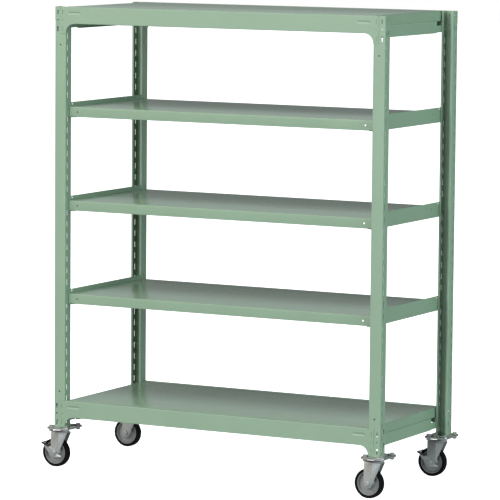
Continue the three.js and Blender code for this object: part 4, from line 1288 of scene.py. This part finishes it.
HUB_RADIUS, RIM_DISH, RIM_WEB, RIM_LIP = 0.015, 0.009, 0.005, 0.003
RIM_SOFTNESS, DISH_RISE, DISH_SHARE, DISH_TURN = 0.0012, 0.004, 0.55, math.radians(54)
SEAL_DEPTH, SEAL_SHARES = 0.0015, (0.62, 0.66)
TREAD_EDGE, TREAD_STEPS, TYRE_SHOULDER, PARTING_RIDGE = 0.0008, 10, 0.002, 0.0002
GROOVE_SHARE, GROOVE_HALF, GROOVE_DEPTH = 0.22, 0.0008, 0.0006


def rim_shape():
    """Disc wheel: along z about its centre, with a hub, a dished web and a rolled lip on each side."""
    bore, lip_face, soft = AXLE_RADIUS + 2 * SEAT, TYRE_WIDTH / 2 - SEAT, RIM_SOFTNESS
    hub_face, web, down = HUB_WIDTH / 2, RIM_WEB / 2, math.pi * 1.5
    seal, (seal_edge, hub_edge) = hub_face - SEAL_DEPTH, SEAL_SHARES
    face = [
        (bore, seal), (HUB_RADIUS * seal_edge, seal), (HUB_RADIUS * hub_edge, hub_face),
        *reversed(arc((HUB_RADIUS - soft, hub_face - soft), soft, 0, math.pi / 2, 3)),
        (HUB_RADIUS + RIM_DISH * DISH_SHARE, web + DISH_RISE),
        *arc((HUB_RADIUS + RIM_DISH + soft, web + soft), soft, down - DISH_TURN, down, 3),
        *arc((RIM_RADIUS - RIM_DISH - soft, web + soft), soft, down, down + DISH_TURN, 3),
        *reversed(arc((RIM_RADIUS - RIM_LIP + soft, lip_face - soft), soft, math.pi / 2, math.pi, 3)),
        *reversed(arc((RIM_RADIUS - soft, lip_face - soft), soft, 0, math.pi / 2, 3)),
    ]
    return turned([*face, *((radius, -height) for radius, height in reversed(face))], steps=72)


def tyre_shape():
    """Solid tyre: along z about its centre, with a rounded tread, wall grooves and a parting ridge."""
    inner, half = RIM_RADIUS + SEAT, TYRE_WIDTH / 2
    wall = WHEEL_RADIUS - inner
    groove = inner + wall * GROOVE_SHARE
    ridge, shoulder = PARTING_RIDGE, TYRE_SHOULDER
    crown = [(WHEEL_RADIUS - TREAD_EDGE * (height / half) ** 4, height)
             for height in (half * step / TREAD_STEPS for step in range(1, TREAD_STEPS))]
    face = [
        (WHEEL_RADIUS, ridge * 2), *crown,
        *arc((WHEEL_RADIUS - TREAD_EDGE - shoulder, half - shoulder), shoulder, math.pi / 4,
             math.pi / 2, 3),
        (groove + GROOVE_HALF, half), (groove, half - GROOVE_DEPTH), (groove - GROOVE_HALF, half),
        (inner, half),
    ]
    return turned([(inner, -half), *((radius, -height) for radius, height in reversed(face[:-1])),
                   (WHEEL_RADIUS + ridge, 0), *face], steps=96)


class SHELVING_OT_wheels(bpy.types.Operator):
    """Makes the pressed disc wheels and their solid tyres"""

    bl_idname = "shelving.wheels"
    bl_label = "Make the wheels"

    def execute(self, context):
        made = finishes(context)
        rim, tyre = rim_shape(), tyre_shape()
        for corner in CORNERS:
            place = Matrix.Translation(box_middle(f"tyre_{corner}")) @ ALONG_Y
            body = f"wheel_{corner}"
            add_piece(f"disc_rim_{corner}", moved(rim, place), "zinc", body, made["wheel"], f"rim_{corner}")
            add_piece(f"rubber_tyre_{corner}", moved(tyre, place), "rubber", body, made["rubber"],
                      f"tyre_{corner}")
        return {"FINISHED"}


LEVER_EYE, LEVER_LOBE, LEVER_ROD, LEVER_BOSS = 0.012, 0.0215, 0.0035, 0.0046
LEVER_SLOPE, ROD_PLACE = math.radians(156.5), (0.0700, 0.0125)
LEVER_EYE_SPAN = (math.radians(-15), math.radians(60))
LEVER_LOBE_SPAN = (math.radians(215), math.radians(255))
LEVER_TIP, LEVER_TIP_RADIUS = (0.033, -0.0145), 0.004
LEVER_TIP_SPAN = (math.radians(-95), math.radians(60))
LEVER_SHOULDER, LEVER_KNEES = (0.0232, 0.0160), ((0.0600, 0.0078), (0.0555, 0.0022))
GRIP_SPAN, GRIP_HEIGHTS = (0.030, 0.0745), (0.0088, 0.0168)
GRIP_STAND, GRIP_WIDTH, GRIP_EDGE = 0.0016, 0.007, 0.0012
GRIP_NEAR_CUT, GRIP_TOP_CUT, GRIP_LOW_CUT = 0.006, 0.003, 0.002


def lever_shape(material):
    """Brake lever about the wheel's centre: two lobed cheeks outside the fork, and a foot rod."""
    along = Vector((math.cos(LEVER_SLOPE), math.sin(LEVER_SLOPE)))
    across = Vector((along.y, -along.x))

    def on_arm(place):
        return (along * place[0] + across * place[1])[:]

    rod = on_arm(ROD_PLACE)
    lobe = [*arc((0, 0), LEVER_LOBE, *LEVER_LOBE_SPAN),
            *arc(LEVER_TIP, LEVER_TIP_RADIUS, *LEVER_TIP_SPAN)]
    eye = arc((0, 0), LEVER_EYE, *LEVER_EYE_SPAN)
    boss = arc(rod, LEVER_BOSS, LEVER_SLOPE - math.pi / 2, LEVER_SLOPE + math.pi / 2)
    inner = FORK_OUTER + 2 * SEAT
    outline = [*lobe, *eye, on_arm(LEVER_SHOULDER), *boss, *(on_arm(knee) for knee in LEVER_KNEES)]
    cheek = prism(outline, "y", inner, inner + BRAKE_SHEET - 2 * SEAT)
    eye_hole = row("y", (0, -PUNCH_REACH, 0), (2 * (AXLE_RADIUS + 2 * SEAT),) * 2, 5 * PUNCH_REACH)
    cheek = softened(punched(cheek, [eye_hole], material), EDGE)
    end = inner + BRAKE_SHEET + EDGE
    bar = turned([(0, -end), (LEVER_ROD - EDGE, -end), (LEVER_ROD, EDGE - end), (LEVER_ROD, end - EDGE),
                  (LEVER_ROD - EDGE, end), (0, end)], SMALL_TURN_STEPS)
    return joined(cheek, moved(cheek, mirrored("y")), moved(bar, at(rod[0], 0, rod[1]) @ ALONG_Y))


def grip_shape():
    """Dark grip over the front arm of the lever and the end of its rod, about the wheel's centre."""
    near, far = GRIP_SPAN
    low, high = (-height for height in reversed(GRIP_HEIGHTS))
    top_cut, low_cut = GRIP_TOP_CUT, GRIP_LOW_CUT
    outer = FORK_OUTER + BRAKE_SHEET + GRIP_STAND
    bar = prism([(near, low), (far - top_cut, low), (far, low + top_cut), (far, high - low_cut),
                 (far - low_cut, high), (near + GRIP_NEAR_CUT, high)], "y", -outer, GRIP_WIDTH - outer)
    return softened(moved(bar, Matrix.Rotation(-LEVER_SLOPE, 4, "Y")), GRIP_EDGE)


class SHELVING_OT_brakes(bpy.types.Operator):
    """Makes the foot brakes of the two braked castors"""

    bl_idname = "shelving.brakes"
    bl_label = "Make the foot brakes"

    def execute(self, context):
        made = finishes(context)
        lever, grip = lever_shape(made["zinc"]), grip_shape()
        for corner in BRAKED:
            place = Matrix.Translation(box_middle(f"tyre_{corner}"))
            body, whole = f"brake_{corner}", f"brake_lever_{corner}"
            add_piece(f"foot_lever_{corner}", moved(lever, place), "zinc", body, made["zinc"], whole)
            add_piece(f"foot_grip_{corner}", moved(grip, place), "dark_steel", body, made["grip"], whole)
        return {"FINISHED"}


# Stage


def aim(location, target):
    """A matrix at a place whose -Z axis points at a target."""
    back = (Vector(location) - Vector(target)).normalized()
    side = Vector((0, 0, 1)).cross(back).normalized()
    turn = Matrix((side, back.cross(side), back)).transposed().to_4x4()
    return Matrix.Translation(location) @ turn


def add_light(name, location, target, size, power, colour):
    """A square soft light aimed at a point."""
    lamp = bpy.data.lights.new(name, "AREA")
    lamp.shape, lamp.size, lamp.energy, lamp.color = "SQUARE", size, power, colour
    holder = bpy.data.objects.new(name, lamp)
    holder.matrix_world = aim(location, target)
    bpy.context.collection.objects.link(holder)


def stage_surface(name, points, faces, material, hidden):
    """Adds a surface of the stage, which the named kinds of ray pass by."""
    mesh = bpy.data.meshes.new(name)
    mesh.from_pydata(points, [], faces)
    mesh.materials.append(material)
    holder = bpy.data.objects.new(name, mesh)
    bpy.context.collection.objects.link(holder)
    for kind in hidden:
        setattr(holder, f"visible_{kind}", False)


FLOOR_REACH = 60.0
FLOOR_GLOW = 1.0
SKY = ((0.87, 0.935, 1.0), 0.46)
SURROUND_HEIGHTS, RING_SIDES = (-8.0, 6.9), 48
SURROUNDINGS = (("dim_surroundings", 45.0, 0.172, ("camera", "diffuse", "shadow", "transmission")),
                ("pale_backdrop", 46.0, 1.0, ("glossy", "diffuse", "shadow", "transmission")))
LIGHT_TARGET = 1.0
LIGHTS = (("key", (-7.0, -9.0, 6.5), 8.0, 570, (1.0, 0.87, 0.68)),
          ("front", (-1.0, -14.5, 6.0), 9.0, 1100, (0.80, 0.90, 1.0)),
          ("right", (12.0, -3.0, 2.2), 9.0, 1165, (0.73, 1.0, 0.93)),
          ("overhead", (0.0, -7.0, 11.0), 5.0, 640, (1.0, 0.95, 0.97)))
FRAME_PIXELS = 500.0
FOCAL_PIXELS = 3446.0
CAMERA_PLACE = (6.8089, -12.8792, 2.5376)
CAMERA_YAW, CAMERA_PITCH, CAMERA_ROLL = 0.4874, 0.1082, 0.0087
SENSOR = 36.0


class SHELVING_OT_stage(bpy.types.Operator):
    """Adds the floor, the lights and the camera"""

    bl_idname = "shelving.stage"
    bl_label = "Set the stage"

    def execute(self, context):
        scene = context.scene
        colour = scene.shelving_colours.floor
        corners = [(x * FLOOR_REACH, y * FLOOR_REACH, 0) for x, y in ((-1, -1), (1, -1), (1, 1), (-1, 1))]
        stage_surface("floor", corners, [(0, 1, 2, 3)], finished("floor", pale_floor, FLOOR_GLOW, colour),
                      ("diffuse", "glossy"))
        steps = range(RING_SIDES)
        for name, radius, strength, hidden in SURROUNDINGS:
            ring = [(radius * math.cos(a), radius * math.sin(a))
                    for a in (math.tau * step / RING_SIDES for step in steps)]
            after = [(step + 1) % RING_SIDES for step in steps]
            stage_surface(name, [(x, y, z) for z in SURROUND_HEIGHTS for x, y in ring],
                          [(step, after[step], RING_SIDES + after[step], RING_SIDES + step)
                           for step in steps], finished(name, glow, strength), hidden)

        world = bpy.data.worlds.new("studio")
        world.use_nodes = True
        sky = world.node_tree.nodes["Background"]
        sky.inputs["Color"].default_value = (*SKY[0], 1)
        sky.inputs["Strength"].default_value = SKY[1]
        scene.world = world
        scene.view_settings.view_transform = "Standard"
        for name, (x, y, z), size, power, colour in LIGHTS:
            add_light(name, (MIDDLE_X + x, y, z), (MIDDLE_X, 0, LIGHT_TARGET), size, power, colour)

        yaw, pitch, roll = CAMERA_YAW, CAMERA_PITCH, CAMERA_ROLL
        forward = Vector((-math.sin(yaw) * math.cos(pitch), math.cos(yaw) * math.cos(pitch),
                          -math.sin(pitch)))
        level = Vector((math.cos(yaw), math.sin(yaw), 0))
        upright = level.cross(forward)
        right = level * math.cos(roll) + upright * math.sin(roll)
        up = upright * math.cos(roll) - level * math.sin(roll)
        camera = bpy.data.cameras.new("camera")
        camera.sensor_width = SENSOR
        camera.lens = FOCAL_PIXELS * SENSOR / FRAME_PIXELS
        camera.clip_end = 2 * FLOOR_REACH
        holder = bpy.data.objects.new("camera", camera)
        holder.matrix_world = (Matrix.Translation(Vector(CAMERA_PLACE) + Vector((MIDDLE_X, 0, 0)))
                               @ Matrix((right, up, -forward)).transposed().to_4x4())
        context.collection.objects.link(holder)
        scene.camera = holder
        return {"FINISHED"}


class SHELVING_PT_panel(bpy.types.Panel):
    """Lists the steps that build the shelving"""

    bl_idname = "SHELVING_PT_panel"
    bl_label = "Mobile Shelving"
    bl_space_type = "VIEW_3D"
    bl_region_type = "UI"
    bl_category = "Shelving"

    def draw(self, context):
        for step in STEPS:
            self.layout.operator(step.bl_idname)


STEPS = (
    SHELVING_OT_posts, SHELVING_OT_beams, SHELVING_OT_side_pieces, SHELVING_OT_boards, SHELVING_OT_feet,
    SHELVING_OT_swivels, SHELVING_OT_plate_bolts, SHELVING_OT_forks, SHELVING_OT_wheels,
    SHELVING_OT_brakes, SHELVING_OT_stage,
)
CLASSES = (ShelvingSizes, ShelvingColours, *STEPS, SHELVING_PT_panel)


def register():
    for item in CLASSES:
        bpy.utils.register_class(item)
    bpy.types.Scene.shelving_sizes = PointerProperty(type=ShelvingSizes)
    bpy.types.Scene.shelving_colours = PointerProperty(type=ShelvingColours)


def unregister():
    del bpy.types.Scene.shelving_colours
    del bpy.types.Scene.shelving_sizes
    for item in reversed(CLASSES):
        bpy.utils.unregister_class(item)


def main():
    register()
    for step in STEPS:
        group, name = step.bl_idname.split(".")
        getattr(getattr(bpy.ops, group), name)()


if __name__ == "__main__":
    main()
